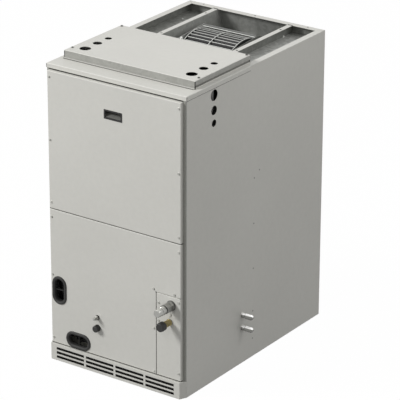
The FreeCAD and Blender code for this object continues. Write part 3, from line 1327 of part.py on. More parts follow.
def air_filter():
    """Framed filter pad on the lower legs of the support rails."""
    half = INNER - SHEET - FILTER_PLAY
    y = (FRONT + LINER_SETBACK + FILTER_PLAY, REAR - REAR_FLANGE - SHEET - FILTER_PLAY)
    z = (FILTER_SEAT, FILTER_SEAT + FILTER_THICKNESS)
    frame = block((-half, half), y, z)
    mouth_half = half - SUPPORT_LEDGE - FILTER_FRAME / 2
    mouth_y = (y[0] + FILTER_FRAME, y[1] - FILTER_FRAME)
    dip = (FILTER_THICKNESS - FILTER_PAD) / 2
    top_dip = block((-mouth_half, mouth_half), mouth_y, (z[1] - dip, z[1] + dip))
    low_dip = block((-mouth_half, mouth_half), mouth_y, (z[0] - dip, z[0] + dip))
    return frame.cut([top_dip, low_dip])


NODES = {
    "left_side_panel": left_side_panel(),
    "right_side_panel": right_side_panel(),
    "rear_panel": rear_panel(),
    "base_pan": base_pan(),
    "kick_grille": kick_grille(),
    "cross_rails": cross_rails(),
    "insulation_liners": insulation_liners(),
    "top_cap": top_cap(),
    "top_cover": top_cover(),
    "cover_screws": cover_screws(),
    "upper_access_panel": upper_access_panel(),
    "handle_cup": handle_cup(),
    "upper_panel_screws": group([screw_y(x, z, DOOR_FACE) for x, z in upper_screw_places()]),
    "lower_access_panel": lower_access_panel(),
    "lower_panel_screws": group([screw_y(x, z, DOOR_FACE) for x, z in lower_screw_places()]),
    "front_drain_bezel": drain_bezel(DRAIN_X, DRAIN_Z, False),
    "side_drain_bezel": drain_bezel(SIDE_DRAIN_X, SIDE_DRAIN_Z, True),
    "line_plate": line_plate(),
    "line_grommets": group([
        grommet(SUCTION_X, SUCTION_Z, SUCTION_RADIUS), grommet(LIQUID_X, LIQUID_Z, LIQUID_RADIUS),
    ]),
    "line_plug": line_plug(),
    "cabinet_screws": cabinet_screws(),
    "suction_fitting": suction_fitting(),
    "suction_line": suction_line(),
    "liquid_fitting": liquid_fitting(),
    "liquid_cap": liquid_cap(),
    "liquid_line": liquid_line(),
    "expansion_valve": expansion_valve(),
    "test_stub": test_stub(),
    "tap_stub": tap_stub(),
    "tap_cap": tap_cap(),
    "port_stubs": port_stubs(),
    "upper_port_cap": port_cap(PORT_HEIGHTS[0]),
    "lower_port_cap": port_cap(PORT_HEIGHTS[1]),
    "supply_rails": supply_rails(),
    "side_shelves": side_shelves(),
    "bay_front_wall": bay_front_wall(),
    "outlet_deck": outlet_deck(),
    "scroll_wrap": scroll_wrap(),
    "blower_left_plate": blower_plate(-1),
    "blower_right_plate": blower_plate(1),
    "inlet_rings": inlet_rings(),
    "wheel_disc": wheel_disc(),
    "wheel_rings": wheel_rings(),
    "wheel_blades": wheel_blades(),
    "blower_shaft": blower_shaft(),
    "blower_motor": blower_motor(),
    "motor_bracket": motor_bracket(),
    "blower_hangers": blower_hangers(),
    "control_panel": control_panel(),
    "control_box": control_box(),
    "control_board": control_board(),
    "transformer": transformer(),
    "coil_slabs": coil_slabs(),
    "coil_end_plates": coil_end_plates(),
    "return_bends": return_bends(),
    "drain_ports": drain_ports(),
    "drain_pan": drain_pan(),
    "side_drain_pan": side_drain_pan(),
    "support_rails": support_rails(),
    "air_filter": air_filter(),
}

for name, shape in NODES.items():
    save(name, shape)
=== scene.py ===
import math

import bmesh
import bpy
import numpy as np
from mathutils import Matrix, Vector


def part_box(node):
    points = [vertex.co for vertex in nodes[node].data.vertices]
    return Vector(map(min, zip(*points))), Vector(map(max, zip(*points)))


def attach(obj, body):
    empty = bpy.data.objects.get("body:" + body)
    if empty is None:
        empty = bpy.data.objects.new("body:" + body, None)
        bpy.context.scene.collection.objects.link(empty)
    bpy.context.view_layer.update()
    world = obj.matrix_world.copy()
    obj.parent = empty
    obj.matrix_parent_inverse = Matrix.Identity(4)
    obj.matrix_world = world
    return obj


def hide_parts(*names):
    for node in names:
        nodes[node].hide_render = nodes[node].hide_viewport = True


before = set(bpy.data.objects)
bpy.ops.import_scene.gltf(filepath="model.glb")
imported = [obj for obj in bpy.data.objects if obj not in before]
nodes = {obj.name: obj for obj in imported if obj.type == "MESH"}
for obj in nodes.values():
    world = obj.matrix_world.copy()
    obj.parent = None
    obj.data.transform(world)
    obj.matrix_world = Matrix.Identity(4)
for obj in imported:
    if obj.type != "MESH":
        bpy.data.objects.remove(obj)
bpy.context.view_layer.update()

# Camera: turned from the front towards the right side, raised, and rolled a little, in degrees
AZIMUTH = 34.998
ELEVATION = 22.435
ROLL = 0.199
CAMERA_PLACE = (4.2618, -6.0238, 3.5047)
CAMERA_REACH = 100.0
SENSOR = 36.0
FOCAL_PIXELS = 2583.0
IMAGE_PIXELS = 400.0

# Light: a strong soft disc lamp at the upper left in front, weak ones in front and at the right, and an even
# fill from the world. A lamp is its name, the direction from the aim to it, its distance, power and size.
LAMP_AIM = np.array((0.0, -0.38, 0.55))
LAMPS = (
    ("key_light", (-0.570, -0.595, 0.567), 9.0, 545.0, 3.0),
    ("front_light", (0.25, -0.80, 0.55), 1.8, 1.9, 0.8),
    ("side_light", (0.75, 0.34, 0.57), 2.2, 5.3, 1.0),
)
FILL = (0.48, 0.48, 0.477, 1.0)
WHITE = (1.0, 1.0, 1.0, 1.0)

# Floor: its side, its points each way, its colour as light and as it is seen, and its share of plain white
FLOOR_SIZE = 14.0
FLOOR_POINTS = 40
FLOOR_BOUNCE = (0.17, 0.17, 0.17, 1.0)
FLOOR_SEEN = (0.95, 0.95, 0.95, 1.0)
FLOOR_WHITE = 0.985

# Directions that a turned piece can face: its two cross axes and its own axis
FACING_FRONT = np.array(((1.0, 0.0, 0.0), (0.0, 0.0, 1.0), (0.0, -1.0, 0.0)))
FACING_RIGHT = np.array(((0.0, 1.0, 0.0), (0.0, 0.0, 1.0), (1.0, 0.0, 0.0)))
FACING_UP = np.eye(3)
LEFT_AND_RIGHT = (-1, 1)


def corners(name):
    """Lowest and highest corner of a CAD node, as arrays in metres."""
    low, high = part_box(name)
    return np.array(low, dtype=float), np.array(high, dtype=float)


def node_points(name):
    """All the corner points of a CAD node's mesh."""
    vertices = nodes[name].data.vertices
    points = np.empty(3 * len(vertices))
    vertices.foreach_get("co", points)
    return points.reshape(-1, 3)


# Sheet thickness, and places from the frame: the cabinet's outer planes, the cover's top and the wheel
SHEET = 0.0012
SHELL_LOW = np.minimum(corners("left_side_panel")[0], corners("rear_panel")[0])
SHELL_HIGH = np.maximum(corners("right_side_panel")[1], corners("rear_panel")[1])
COVER_TOP = corners("top_cover")[1][2]
WHEEL_LOW, WHEEL_HIGH = corners("wheel_rings")
WHEEL_MIDDLE = (WHEEL_LOW + WHEEL_HIGH) / 2
WHEEL_RADIUS = (WHEEL_HIGH - WHEEL_LOW)[2] / 2

# Pattern sizes that finishes share
SPANGLE = 0.011
SPANGLE_WANDER = 0.00625
FROST = 0.003
TOOL_LINES = 0.0011
TARNISH = 0.012
MOULD_GRAIN = 0.0009


class Wire:
    """A socket in a node tree. Its operators add Math nodes, so shader maths reads as plain expressions."""

    def __init__(self, shading, socket):
        self.shading = shading
        self.socket = socket

    def math(self, operation, first, second=0.0):
        return self.shading.node("ShaderNodeMath", {"operation": operation}, {0: first, 1: second})

    def __add__(self, other):
        return self.math("ADD", self, other)

    def __radd__(self, other):
        return self.math("ADD", other, self)

    def __sub__(self, other):
        return self.math("SUBTRACT", self, other)

    def __rsub__(self, other):
        return self.math("SUBTRACT", other, self)

    def __mul__(self, other):
        return self.math("MULTIPLY", self, other)

    def __rmul__(self, other):
        return self.math("MULTIPLY", other, self)

    def __abs__(self):
        return self.math("ABSOLUTE", self)

    def __or__(self, other):
        return self.math("MAXIMUM", self, other)


class Shading:
    """A node tree in the making, of a material or of the world: node() adds any node."""

    def __init__(self, tree):
        self.tree = tree

    def feed(self, socket, value):
        """Links a wire to a socket, or sets a plain value on it."""
        if isinstance(value, Wire):
            self.tree.links.new(value.socket, socket)
        else:
            socket.default_value = value

    def node(self, kind, settings=None, sockets=None, output=0):
        """Adds a node: its settings first, then the value or link of each socket."""
        made = self.tree.nodes.new(kind)
        for key, value in (settings or {}).items():
            setattr(made, key, value)
        for key, value in (sockets or {}).items():
            self.feed(made.inputs[key], value)
        return Wire(self, made.outputs[output])

    def blend(self, share, first, second):
        """The first colour at share 0, the second at 1."""
        return self.node("ShaderNodeMix", {"data_type": "RGBA"}, {0: share, 6: first, 7: second}, 2)

    def seen(self):
        """1 for rays from the camera, from a reflection or through glass, 0 for the rays of light."""
        rays = "ShaderNodeLightPath"
        direct = self.node(rays, output="Is Camera Ray") | self.node(rays, output="Is Glossy Ray")
        return direct | self.node(rays, output="Is Transmission Ray")


class Finish(Shading):
    """A material in the making, with short forms for the nodes that the finishes share."""

    def __init__(self, name):
        self.material = bpy.data.materials.new(name)
        self.material.use_nodes = True
        super().__init__(self.material.node_tree)
        self.shader = self.tree.nodes["Principled BSDF"]
        self.place = self.node("ShaderNodeTexCoord", output="Object")

    def axis(self, letter):
        """One coordinate of the object, in metres."""
        return self.node("ShaderNodeSeparateXYZ", None, {"Vector": self.place}, letter)

    def facing(self, letter):
        """How far the surface faces along one axis, from -1 to 1."""
        normal = self.node("ShaderNodeNewGeometry", output="Normal")
        return self.node("ShaderNodeSeparateXYZ", None, {"Vector": normal}, letter)

    def stretched(self, stretch):
        """Object coordinates that lengthen a pattern along each axis by its number."""
        scale = tuple(1.0 / s for s in stretch)
        return self.node("ShaderNodeMapping", None, {"Vector": self.place, "Scale": scale})

    def noise(self, size, detail=2.0, place=None):
        """Noise from 0 to 1 with blotches about size metres across."""
        sockets = {"Vector": place or self.place, "Scale": 1.0 / size, "Detail": detail, "Roughness": 0.55}
        return self.node("ShaderNodeTexNoise", None, sockets)

    def cells(self, size, output="Distance", place=None):
        """Cells about size metres across: the distance to each cell's middle, or a colour for each."""
        sockets = {"Vector": place or self.place, "Scale": 1.0 / size}
        return self.node("ShaderNodeTexVoronoi", None, sockets, output)

    def spangle(self):
        """Zinc crystals: one number for each of a field of cells with wandering borders."""
        sockets = {"Vector": self.place, "Scale": 1.0 / SPANGLE_WANDER}
        wander = self.node("ShaderNodeTexNoise", None, sockets, "Color")
        sockets = {0: wander, "Scale": 0.5 * SPANGLE}
        moved = self.node("ShaderNodeVectorMath", {"operation": "SCALE"}, sockets)
        bent = self.node("ShaderNodeVectorMath", {"operation": "ADD"}, {0: self.place, 1: moved})
        return self.grey(self.cells(SPANGLE, "Color", bent))

    def grey(self, colour):
        """One number from a colour."""
        return self.node("ShaderNodeSeparateColor", None, {"Color": colour})

    def rise(self, value, low, high):
        """0 below low, 1 above high, and smooth between."""
        sockets = {"Value": value, "From Min": low, "From Max": high}
        return self.node("ShaderNodeMapRange", {"interpolation_type": "SMOOTHSTEP"}, sockets)

    def bump(self, height, depth, edge=0.0):
        """A normal from a height of 0 to 1, worth depth metres, over edges rounded by edge metres."""
        sockets = {"Height": height, "Distance": depth, "Strength": 1.0}
        if edge:
            sockets["Normal"] = self.node("ShaderNodeBevel", {"samples": 6}, {"Radius": edge})
        return self.node("ShaderNodeBump", None, sockets)

    def coat(self, sockets):
        """Sets the shader's sockets and returns the material."""
        for key, value in sockets.items():
            self.feed(self.shader.inputs[key], value)
        return self.material


def tone(red, green, blue):
    """An sRGB colour from 0 to 255 as the linear colour that a shader takes."""
    share = np.array((red, green, blue)) / 255.0
    linear = np.where(share <= 0.04045, share / 12.92, ((share + 0.055) / 1.055) ** 2.4)
    return (*linear.tolist(), 1.0)


def outside_shell(f):
    """1 on the cabinet's outer planes and 0 inside them."""
    planes = (
        (abs(f.axis("X")), SHELL_HIGH[0]),
        (f.axis("Z"), SHELL_HIGH[2]),
        (f.axis("Y"), SHELL_HIGH[1]),
        (-1.0 * f.axis("Y"), -SHELL_LOW[1]),
    )
    sides, top, back, front = [
        f.rise(place, plane - SHEET / 2, plane - SHEET / 4) for place, plane in planes
    ]
    return sides | top | back | front


def top_of_cover(f):
    """1 on the flat top of the cover and 0 on its skirts, which take a darker grey as painted shade."""
    return f.rise(f.axis("Z"), COVER_TOP - 1.4 * SHEET, COVER_TOP - SHEET)


def bare_sheet_with_painted_light_and_shade(f, left, right):
    """Zinc spangle between two greys, with a pair of greys for each half of the cabinet; where the two pairs
    differ, the difference is painted light and shade.
    """
    spangle = f.spangle()
    half = f.rise(f.axis("X"), -0.01, 0.01)
    return f.blend(half, f.blend(spangle, *left), f.blend(spangle, *right))


def powder_coat(name, thin, full, painted=None, left=None, right=None):
    """Baked powder paint: a slow drift of film thickness, fine grain, and orange peel in the surface.
    Where a mask says which faces are painted, the others take spangled greys: bare zinc sheet in the shell
    and the rails, painted shade on the cover's skirts."""
    f = Finish(name)
    drift = f.noise(0.40, 3.0)
    mottle = f.noise(0.016)
    grain = f.noise(0.0012, 1.0)
    peel = f.noise(0.0028)
    share = 0.5 * drift + 0.3 * mottle + 0.2 * grain
    colour = f.blend(f.rise(share, 0.25, 0.75), thin, full)
    sockets = {"Specular IOR Level": 0.4}
    if painted:
        outer = painted(f)
        colour = f.blend(outer, bare_sheet_with_painted_light_and_shade(f, left, right), colour)
        sockets["Metallic"] = 0.25 * (1.0 - outer)
    sockets["Base Color"] = colour
    sockets["Roughness"] = 0.36 + 0.10 * mottle + 0.06 * grain
    sockets["Normal"] = f.bump(0.7 * peel + 0.3 * grain, 0.00005, 0.0012)
    return f.coat(sockets)


def shelf_sheet(name, left, right):
    """The two shelves: spangled sheet, thinly frosted, the right shelf a lighter grey than the left as
    painted light and shade.
    """
    f = Finish(name)
    frost = f.noise(FROST, 3.0)
    return f.coat({
        "Base Color": bare_sheet_with_painted_light_and_shade(f, left, right),
        "Metallic": 0.15,
        "Roughness": 0.44 + 0.12 * frost,
        "Normal": f.bump(frost, 0.00002),
    })


def zinc_sheet(name, dark, pale, metal):
    """Galvanised sheet: crystal spangle, each grain with its own grey and gloss, under a thin frost."""
    f = Finish(name)
    spangle = f.spangle()
    frost = f.noise(FROST, 3.0)
    stain = f.noise(0.12, 4.0)
    share = 0.45 * spangle + 0.25 * frost + 0.3 * stain
    return f.coat({
        "Base Color": f.blend(f.rise(share, 0.2, 0.8), dark, pale),
        "Metallic": metal,
        "Roughness": 0.36 + 0.16 * spangle + 0.10 * frost,
        "Normal": f.bump(0.6 * spangle + 0.4 * frost, 0.00002),
    })


def wheel_zinc_painted_shade(name, dark, pale):
    """Zinc wheel: painted shade darkens it inwards and a painted highlight lightens the blade tips and ring
    edges, with a noise wobbling the edge between them.
    """
    f = Finish(name)
    spoke = f.node("ShaderNodeMapping", None, {
        "Vector": f.place, "Location": (0.0, -WHEEL_MIDDLE[1], -WHEEL_MIDDLE[2]), "Scale": (0.0, 1.0, 1.0),
    })
    radius = f.node("ShaderNodeVectorMath", {"operation": "LENGTH"}, {0: spoke}, "Value")
    dust = f.noise(0.006, 3.0)
    # Painted highlight beyond this radius, painted shade inside it.
    tip = f.rise(radius + 0.0004 * dust, WHEEL_RADIUS - 0.0022, WHEEL_RADIUS - 0.0010)
    frost = f.noise(0.002, 2.0)
    return f.coat({
        "Base Color": f.blend(tip, dark, pale),
        "Metallic": 0.15 * tip,
        "Roughness": 0.62 - 0.18 * tip + 0.10 * frost,
        "Normal": f.bump(0.5 * dust + 0.5 * frost, 0.00004),
    })


def moulded_plastic(name, dark, pale, rough):
    """Moulded plastic: a fine spark-eroded grain, faint flow marks, slightly chalky where it is pale."""
    f = Finish(name)
    grain = f.cells(MOULD_GRAIN)
    flow = f.noise(0.02, 3.0)
    share = 0.65 * flow + 0.35 * grain
    return f.coat({
        "Base Color": f.blend(f.rise(share, 0.2, 0.8), dark, pale),
        "Roughness": rough + 0.12 * flow + 0.06 * grain,
        "Normal": f.bump(grain, 0.00005),
    })


def turned_metal(name, dark, pale, rough, stretch, metal=1.0):
    """Machined or drawn metal: tool lines across its length, with patches of tarnish."""
    f = Finish(name)
    lines = f.noise(TOOL_LINES, 2.0, f.stretched(stretch))
    tarnish = f.noise(TARNISH, 4.0)
    share = 0.35 * lines + 0.65 * tarnish
    return f.coat({
        "Base Color": f.blend(f.rise(share, 0.3, 0.7), dark, pale),
        "Metallic": metal,
        "Roughness": rough + 0.12 * tarnish + 0.06 * lines,
        "Normal": f.bump(lines, 0.00003),
    })


def plated_metal_painted_light(name, shade, body, light, top):
    """Plating over tool lines, with painted light: a painted highlight on top, from one upward slope to
    another, and painted shade below.
    """
    f = Finish(name)
    lines = f.noise(TOOL_LINES, 2.0, f.stretched(ACROSS_Y))
    tarnish = f.noise(TARNISH, 4.0)
    # Painted highlight where the surface faces up, painted shade where it faces down.
    above = f.rise(f.facing("Z") + 0.1 * tarnish, *top)
    below = f.rise(-1.0 * f.facing("Z"), 0.1, 0.8)
    return f.coat({
        "Base Color": f.blend(above, f.blend(below, body, shade), light),
        "Metallic": 1.0,
        "Roughness": 0.22 + 0.10 * tarnish + 0.06 * lines,
        "Normal": f.bump(lines, 0.00003),
    })


def scoop_plastic(name, black, painted_light_grey):
    """The pull's black moulding, painted a lighter grey in the lower half of its hollow, clear of the frame,
    as painted light.
    """
    f = Finish(name)
    low, high = corners("handle_cup")
    middle = (low + high)[0] / 2
    half, depth, tall = (high - low) * (0.5, 1.0, 1.0)
    inside = f.rise(f.axis("Y"), low[1] + 0.06 * depth, low[1] + 0.12 * depth)
    clear = 1.0 - f.rise(abs(f.axis("X") - middle), 0.84 * half, 0.93 * half)
    lower = 1.0 - f.rise(f.axis("Z"), low[2] + 0.35 * tall, low[2] + 0.75 * tall)
    grain = f.cells(MOULD_GRAIN)
    scuff_and_light_patches = f.noise(0.004, 3.0)
    return f.coat({
        # The lower half of the hollow is painted lighter, in patches, as painted light.
        "Base Color": f.blend(inside * clear * lower * (0.8 + 0.4 * scuff_and_light_patches), black, painted_light_grey),
        "Roughness": 0.48 + 0.12 * scuff_and_light_patches,
        "Normal": f.bump(grain, 0.00005),
    })


def foam(name, dark, pale):
    """Closed-cell foam: small rounded cells, darker in the gaps between them."""
    f = Finish(name)
    gaps = f.cells(0.0011)
    rub = f.noise(0.01, 3.0)
    return f.coat({
        "Base Color": f.blend(f.rise(0.7 * gaps + 0.3 * rub, 0.1, 0.8), pale, dark),
        "Roughness": 0.90 + 0.08 * rub,
        "Normal": f.bump(1.0 - gaps, 0.0003),
        "Specular IOR Level": 0.15,
    })


def fibre_mat(name, dark, pale):
    """Glass-fibre mat: matted strands over soft lumps, with a few pale threads."""
    f = Finish(name)
    strands = f.noise(0.0014, 5.0, f.stretched((3.0, 1.0, 1.0)))
    lumps = f.noise(0.02, 3.0)
    threads = f.rise(f.noise(0.004, 6.0), 0.58, 0.72)
    return f.coat({
        "Base Color": f.blend(f.rise(0.6 * strands + 0.4 * threads, 0.2, 0.8), dark, pale),
        "Roughness": 0.92 + 0.06 * strands,
        "Normal": f.bump(0.5 * strands + 0.5 * lumps, 0.0012),
        "Specular IOR Level": 0.2,
    })


def filter_media(name, dark, pale):
    """Filter card and paper: felted fibres with a grey bloom of dust."""
    f = Finish(name)
    fibres = f.noise(0.0012, 5.0, f.stretched((1.0, 5.0, 1.0)))
    dust = f.noise(0.05, 4.0)
    return f.coat({
        "Base Color": f.blend(f.rise(0.5 * fibres + 0.5 * dust, 0.25, 0.75), dark, pale),
        "Roughness": 0.88 + 0.08 * fibres,
        "Normal": f.bump(fibres, 0.0002),
    })


def circuit_board(name):
    """Solder mask over copper: lighter patches where the copper lies, and round tinned pads."""
    f = Finish(name)
    patches = f.cells(0.005, "Color")
    tracks = f.rise(f.grey(patches), 0.52, 0.60)
    pads = 1.0 - f.rise(f.cells(0.0065), 0.16, 0.22)
    green = f.blend(tracks, tone(22, 70, 44), tone(38, 104, 62))
    return f.coat({
        "Base Color": f.blend(pads, green, tone(188, 176, 140)),
        "Roughness": 0.30 + 0.10 * tracks,
        "Metallic": 0.8 * pads,
        "Normal": f.bump(0.5 * tracks + 0.5 * pads, 0.00006),
    })


def laminations(name):
    """Transformer core: a stack of thin dark sheets seen on edge, varnished brown."""
    f = Finish(name)
    sheets = f.noise(0.0009, 1.0, f.stretched((30.0, 30.0, 1.0)))
    varnish = f.noise(0.010, 3.0)
    share = 0.6 * sheets + 0.4 * varnish
    return f.coat({
        "Base Color": f.blend(f.rise(share, 0.3, 0.7), tone(48, 40, 34), tone(104, 90, 74)),
        "Roughness": 0.38 + 0.15 * varnish,
        "Metallic": 0.4,
        "Normal": f.bump(sheets, 0.0002),
    })


# Finishes: stretches of a pattern, colours, then the materials
ACROSS_Y = (1.0, 0.12, 1.0)
ALONG_Z = (1.0, 1.0, 6.0)
EVEN = (1.0, 1.0, 1.0)
THIN_PAINT = tone(209, 208, 202)
FULL_PAINT = tone(217, 216, 210)
BARE_SHEET = (tone(132, 133, 129), tone(148, 149, 145))
# The wall grey, darker, inside the right half of the shell, and the rail grey, lighter, on the left rail's
# web, are painted shade and painted light.
BARE_WALL = (tone(116, 117, 113), tone(132, 133, 129))
BARE_RAIL_PAINTED_LIGHT = (tone(166, 167, 163), tone(184, 185, 181))
# The skirt grey is painted shade on the cover's skirts.
SKIRT_PAINTED_SHADE = (tone(156, 156, 151), tone(168, 168, 163))
# The two shelf greys, darker on the left and lighter on the right, are painted light and shade.
LEFT_SHELF = (tone(150, 151, 146), tone(176, 177, 172))
RIGHT_SHELF = (tone(178, 179, 175), tone(206, 207, 203))
PAINT = powder_coat("cabinet_powder_coat", THIN_PAINT, FULL_PAINT)
SHELL = powder_coat("cabinet_shell", THIN_PAINT, FULL_PAINT, outside_shell, BARE_SHEET, BARE_WALL)
RAIL = powder_coat("supply_rail_shell", THIN_PAINT, FULL_PAINT, outside_shell, BARE_RAIL_PAINTED_LIGHT, BARE_SHEET)
COVER = powder_coat("cover_coat_with_painted_skirt_shade", THIN_PAINT, FULL_PAINT, top_of_cover, SKIRT_PAINTED_SHADE, SKIRT_PAINTED_SHADE)
SHELF = shelf_sheet("shelf_spangle", LEFT_SHELF, RIGHT_SHELF)
ZINC = zinc_sheet("galvanised_spangle", tone(112, 113, 109), tone(138, 139, 135), 0.15)
# The left blower plate takes a paler zinc grey than the rest, as painted light.
PLATE_ZINC_PAINTED_LIGHT = zinc_sheet("left_plate_zinc_painted_light", tone(166, 167, 163), tone(188, 189, 185), 0.15)
# The scroll and the cutoff lip take a dark zinc grey as painted shade inside the blower.
SCROLL_ZINC_PAINTED_SHADE = zinc_sheet("scroll_zinc_painted_shade", tone(72, 73, 70), tone(90, 91, 88), 0.1)
# The wheel's hoops and collar take a pale zinc grey as painted highlights.
PALE_ZINC_PAINTED_HIGHLIGHT = zinc_sheet("zinc_painted_highlight", tone(214, 215, 211), tone(232, 233, 229), 0.2)
# The bead at the blower's cutoff is pale as a painted highlight.
HEM_ZINC_PAINTED_HIGHLIGHT = zinc_sheet("cutoff_bead_painted_highlight", tone(188, 189, 185), tone(208, 209, 205), 0.15)
WHEEL = wheel_zinc_painted_shade("wheel_zinc_painted_shade", tone(18, 18, 17), tone(186, 187, 183))
SCREW = turned_metal("screw_zinc_plate", tone(150, 150, 145), tone(196, 196, 190), 0.36, EVEN, 0.55)
COVER_SCREW = turned_metal("cover_screw_plate", tone(84, 84, 81), tone(112, 112, 108), 0.45, EVEN, 0.3)
SIDE_SCREW = turned_metal("side_screw_paint", tone(132, 132, 128), tone(160, 160, 155), 0.45, EVEN, 0.1)
# The two rivets are near white as painted highlights on the shelf and the rail web.
RIVET_PAINTED_HIGHLIGHT = turned_metal("rivet_painted_highlight", tone(232, 232, 228), tone(250, 250, 247), 0.30, EVEN, 0.1)
BLACK = moulded_plastic("black_moulding", tone(16, 16, 15), tone(32, 32, 30), 0.46)
SCOOP = scoop_plastic("pull_moulding", tone(18, 18, 17), tone(98, 98, 94))
RIM = moulded_plastic("bezel_moulding", tone(20, 20, 19), tone(36, 36, 34), 0.54)
PAN = moulded_plastic("pan_moulding", tone(10, 10, 10), tone(20, 20, 20), 0.60)
PALE = moulded_plastic("pale_moulding", tone(204, 203, 196), tone(222, 221, 214), 0.44)
DUCT = moulded_plastic("wire_duct_moulding", tone(250, 249, 246), tone(254, 254, 252), 0.50)
# Plated parts: their light tops are painted highlights and their dark undersides painted shade.
PORT = plated_metal_painted_light("port_plating", tone(84, 84, 81), tone(118, 118, 114), tone(252, 252, 250),
                    (0.50, 0.78))
BRIGHT = plated_metal_painted_light("nickel_plating", tone(58, 58, 56), tone(124, 124, 120), tone(246, 246, 243),
                      (0.86, 1.02))
END = plated_metal_painted_light("nickel_end_plating", tone(88, 88, 85), tone(160, 160, 156), tone(232, 232, 228),
                   (0.80, 1.02))
BRASS = turned_metal("brass_turned", tone(136, 124, 84), tone(176, 162, 116), 0.34, ACROSS_Y, 0.7)
COPPER = turned_metal("copper_drawn", tone(150, 86, 58), tone(198, 128, 92), 0.30, ACROSS_Y)
RUBBER = moulded_plastic("grommet_rubber", tone(128, 127, 122), tone(156, 155, 150), 0.62)
FINS = turned_metal("fin_foil", tone(160, 163, 165), tone(206, 208, 210), 0.34, ALONG_Z)
MOTOR = moulded_plastic("motor_enamel", tone(40, 41, 43), tone(62, 63, 66), 0.40)
BOARD = circuit_board("board_solder_mask")
CORE = laminations("transformer_laminations")
WOOL = fibre_mat("glass_fibre_mat", tone(44, 44, 43), tone(92, 92, 89))
CARD = filter_media("filter_paper", tone(176, 175, 164), tone(214, 213, 203))
FOAM = foam("black_foam", tone(14, 14, 14), tone(36, 36, 35))
SCREEN_FOAM = foam("kick_screen_foam", tone(26, 26, 25), tone(58, 58, 56))
# Dark seam foam: seals and corner seams, and strips that paint the shade in seams and the shadow lines on
# the cabinet.
SEAM_FOAM_AND_SHADE = foam("seam_foam_and_shade", tone(48, 48, 46), tone(74, 74, 71))
# Grey foam under the cover's sides, toned as painted shade in the gap there.
COVER_GAP_PAINTED_SHADE = foam("cover_gap_painted_shade", tone(120, 120, 116), tone(156, 156, 151))
# Grey foam beside the doors, toned as painted shade in the corners between the doors and the cabinet.
DOOR_EDGE_PAINTED_SHADE = foam("door_edge_painted_shade", tone(150, 150, 145), tone(178, 178, 172))
# The cover's foot takes a darker paint grey as painted shade in the crease before the cover.
COVER_FOOT_PAINTED_SHADE = powder_coat("cover_foot_painted_shade", tone(178, 177, 172), tone(188, 187, 182))

FINISHES = {
    PAINT: ["top_cap", "upper_access_panel", "lower_access_panel", "line_plate", "kick_grille"],
    COVER: ["top_cover"],
    SHELL: ["left_side_panel", "right_side_panel", "rear_panel"],
    RAIL: ["supply_rails"],
    SHELF: ["side_shelves"],
    PLATE_ZINC_PAINTED_LIGHT: ["blower_left_plate"],
    SCROLL_ZINC_PAINTED_SHADE: ["scroll_wrap"],
    ZINC: ["base_pan", "cross_rails", "bay_front_wall", "outlet_deck", "blower_right_plate", "inlet_rings",
           "motor_bracket", "blower_hangers", "control_panel", "control_box", "support_rails",
           "coil_end_plates"],
    WHEEL: ["wheel_disc", "wheel_rings", "wheel_blades"],
    SCREW: ["cover_screws", "upper_panel_screws", "lower_panel_screws", "cabinet_screws", "blower_shaft"],
    SCOOP: ["handle_cup"],
    BLACK: ["liquid_cap", "tap_cap"],
    RIM: ["front_drain_bezel", "side_drain_bezel"],
    PAN: ["drain_ports", "drain_pan", "side_drain_pan"],
    PALE: ["line_plug"],
    PORT: ["upper_port_cap", "lower_port_cap", "port_stubs"],
    BRIGHT: ["suction_fitting", "tap_stub"],
    END: ["test_stub"],
    BRASS: ["liquid_fitting", "expansion_valve"],
    COPPER: ["suction_line", "liquid_line", "return_bends"],
    RUBBER: ["line_grommets"],
    FINS: ["coil_slabs"],
    MOTOR: ["blower_motor"],
    BOARD: ["control_board"],
    CORE: ["transformer"],
    WOOL: ["insulation_liners"],
    CARD: ["air_filter"],
}


def dress_nodes():
    """Gives each CAD node its finish."""
    for finish, names in FINISHES.items():
        for name in names:
            slots = nodes[name].data.materials
            slots.clear()
            slots.append(finish)


# Grids of points: rows along a profile or a path, columns round it
SECTION_POINTS = 16
OVAL_POINTS = 25
MERGE_REACH = 1e-6
SHARP_DEGREES = 32


def turned(profile, sides, ribs=0):
    """Surface of revolution. A profile row is a height and a radius, and where it needs them a hexagon share
    and a rib depth: the share bends the row's circle to a hexagon, the radius over the cosine of the angle
    from the nearest flat's middle, and the ribs add their depth times the cosine of their number times the
    angle."""
    rows = np.array([(*row, 0.0, 0.0)[:4] for row in profile], dtype=float)
    angle = np.arange(sides) * (2 * math.pi / sides)
    from_flat = (angle + math.pi / 6) % (math.pi / 3) - math.pi / 6
    hexagon = 1.0 / np.cos(from_flat) - 1.0
    radius = rows[:, 1:2] * (1.0 + rows[:, 2:3] * hexagon) + rows[:, 3:4] * np.cos(ribs * angle)
    height = np.broadcast_to(rows[:, 0:1], radius.shape)
    return np.stack([radius * np.cos(angle), radius * np.sin(angle), height], axis=-1)


def placed(grid, facing, middle):
    """A grid turned to face a direction and moved to its middle."""
    return grid @ facing + np.asarray(middle)


def section_shares():
    """The two shares of a superellipse's half axes round a section: the signed roots of cosine and sine."""
    angle = np.arange(SECTION_POINTS) * (2 * math.pi / SECTION_POINTS)
    wave = np.stack([np.cos(angle), np.sin(angle)])
    return np.sign(wave) * np.sqrt(np.abs(wave))


def section(across, up):
    """Points of a rounded section: a superellipse whose half axes are the vectors across and up."""
    wide, tall = section_shares()
    return wide[:, None] * np.asarray(across) + tall[:, None] * np.asarray(up)


def strip(start, end, across, up):
    """Straight bar with a rounded section: rows run from start to end and close to a point at each, and
    columns follow the superellipse whose half axes are across and up."""
    places = np.array([start, start, end, end], dtype=float)
    size = np.array([0.0, 1.0, 1.0, 0.0])
    return places[:, None, :] + size[:, None, None] * section(across, up)[None]


def bar(start, end, half):
    """A strip along one of the axes: half holds its half widths along the other two."""
    across, up = np.diag(half)[np.nonzero(half)]
    return strip(start, end, across, up)


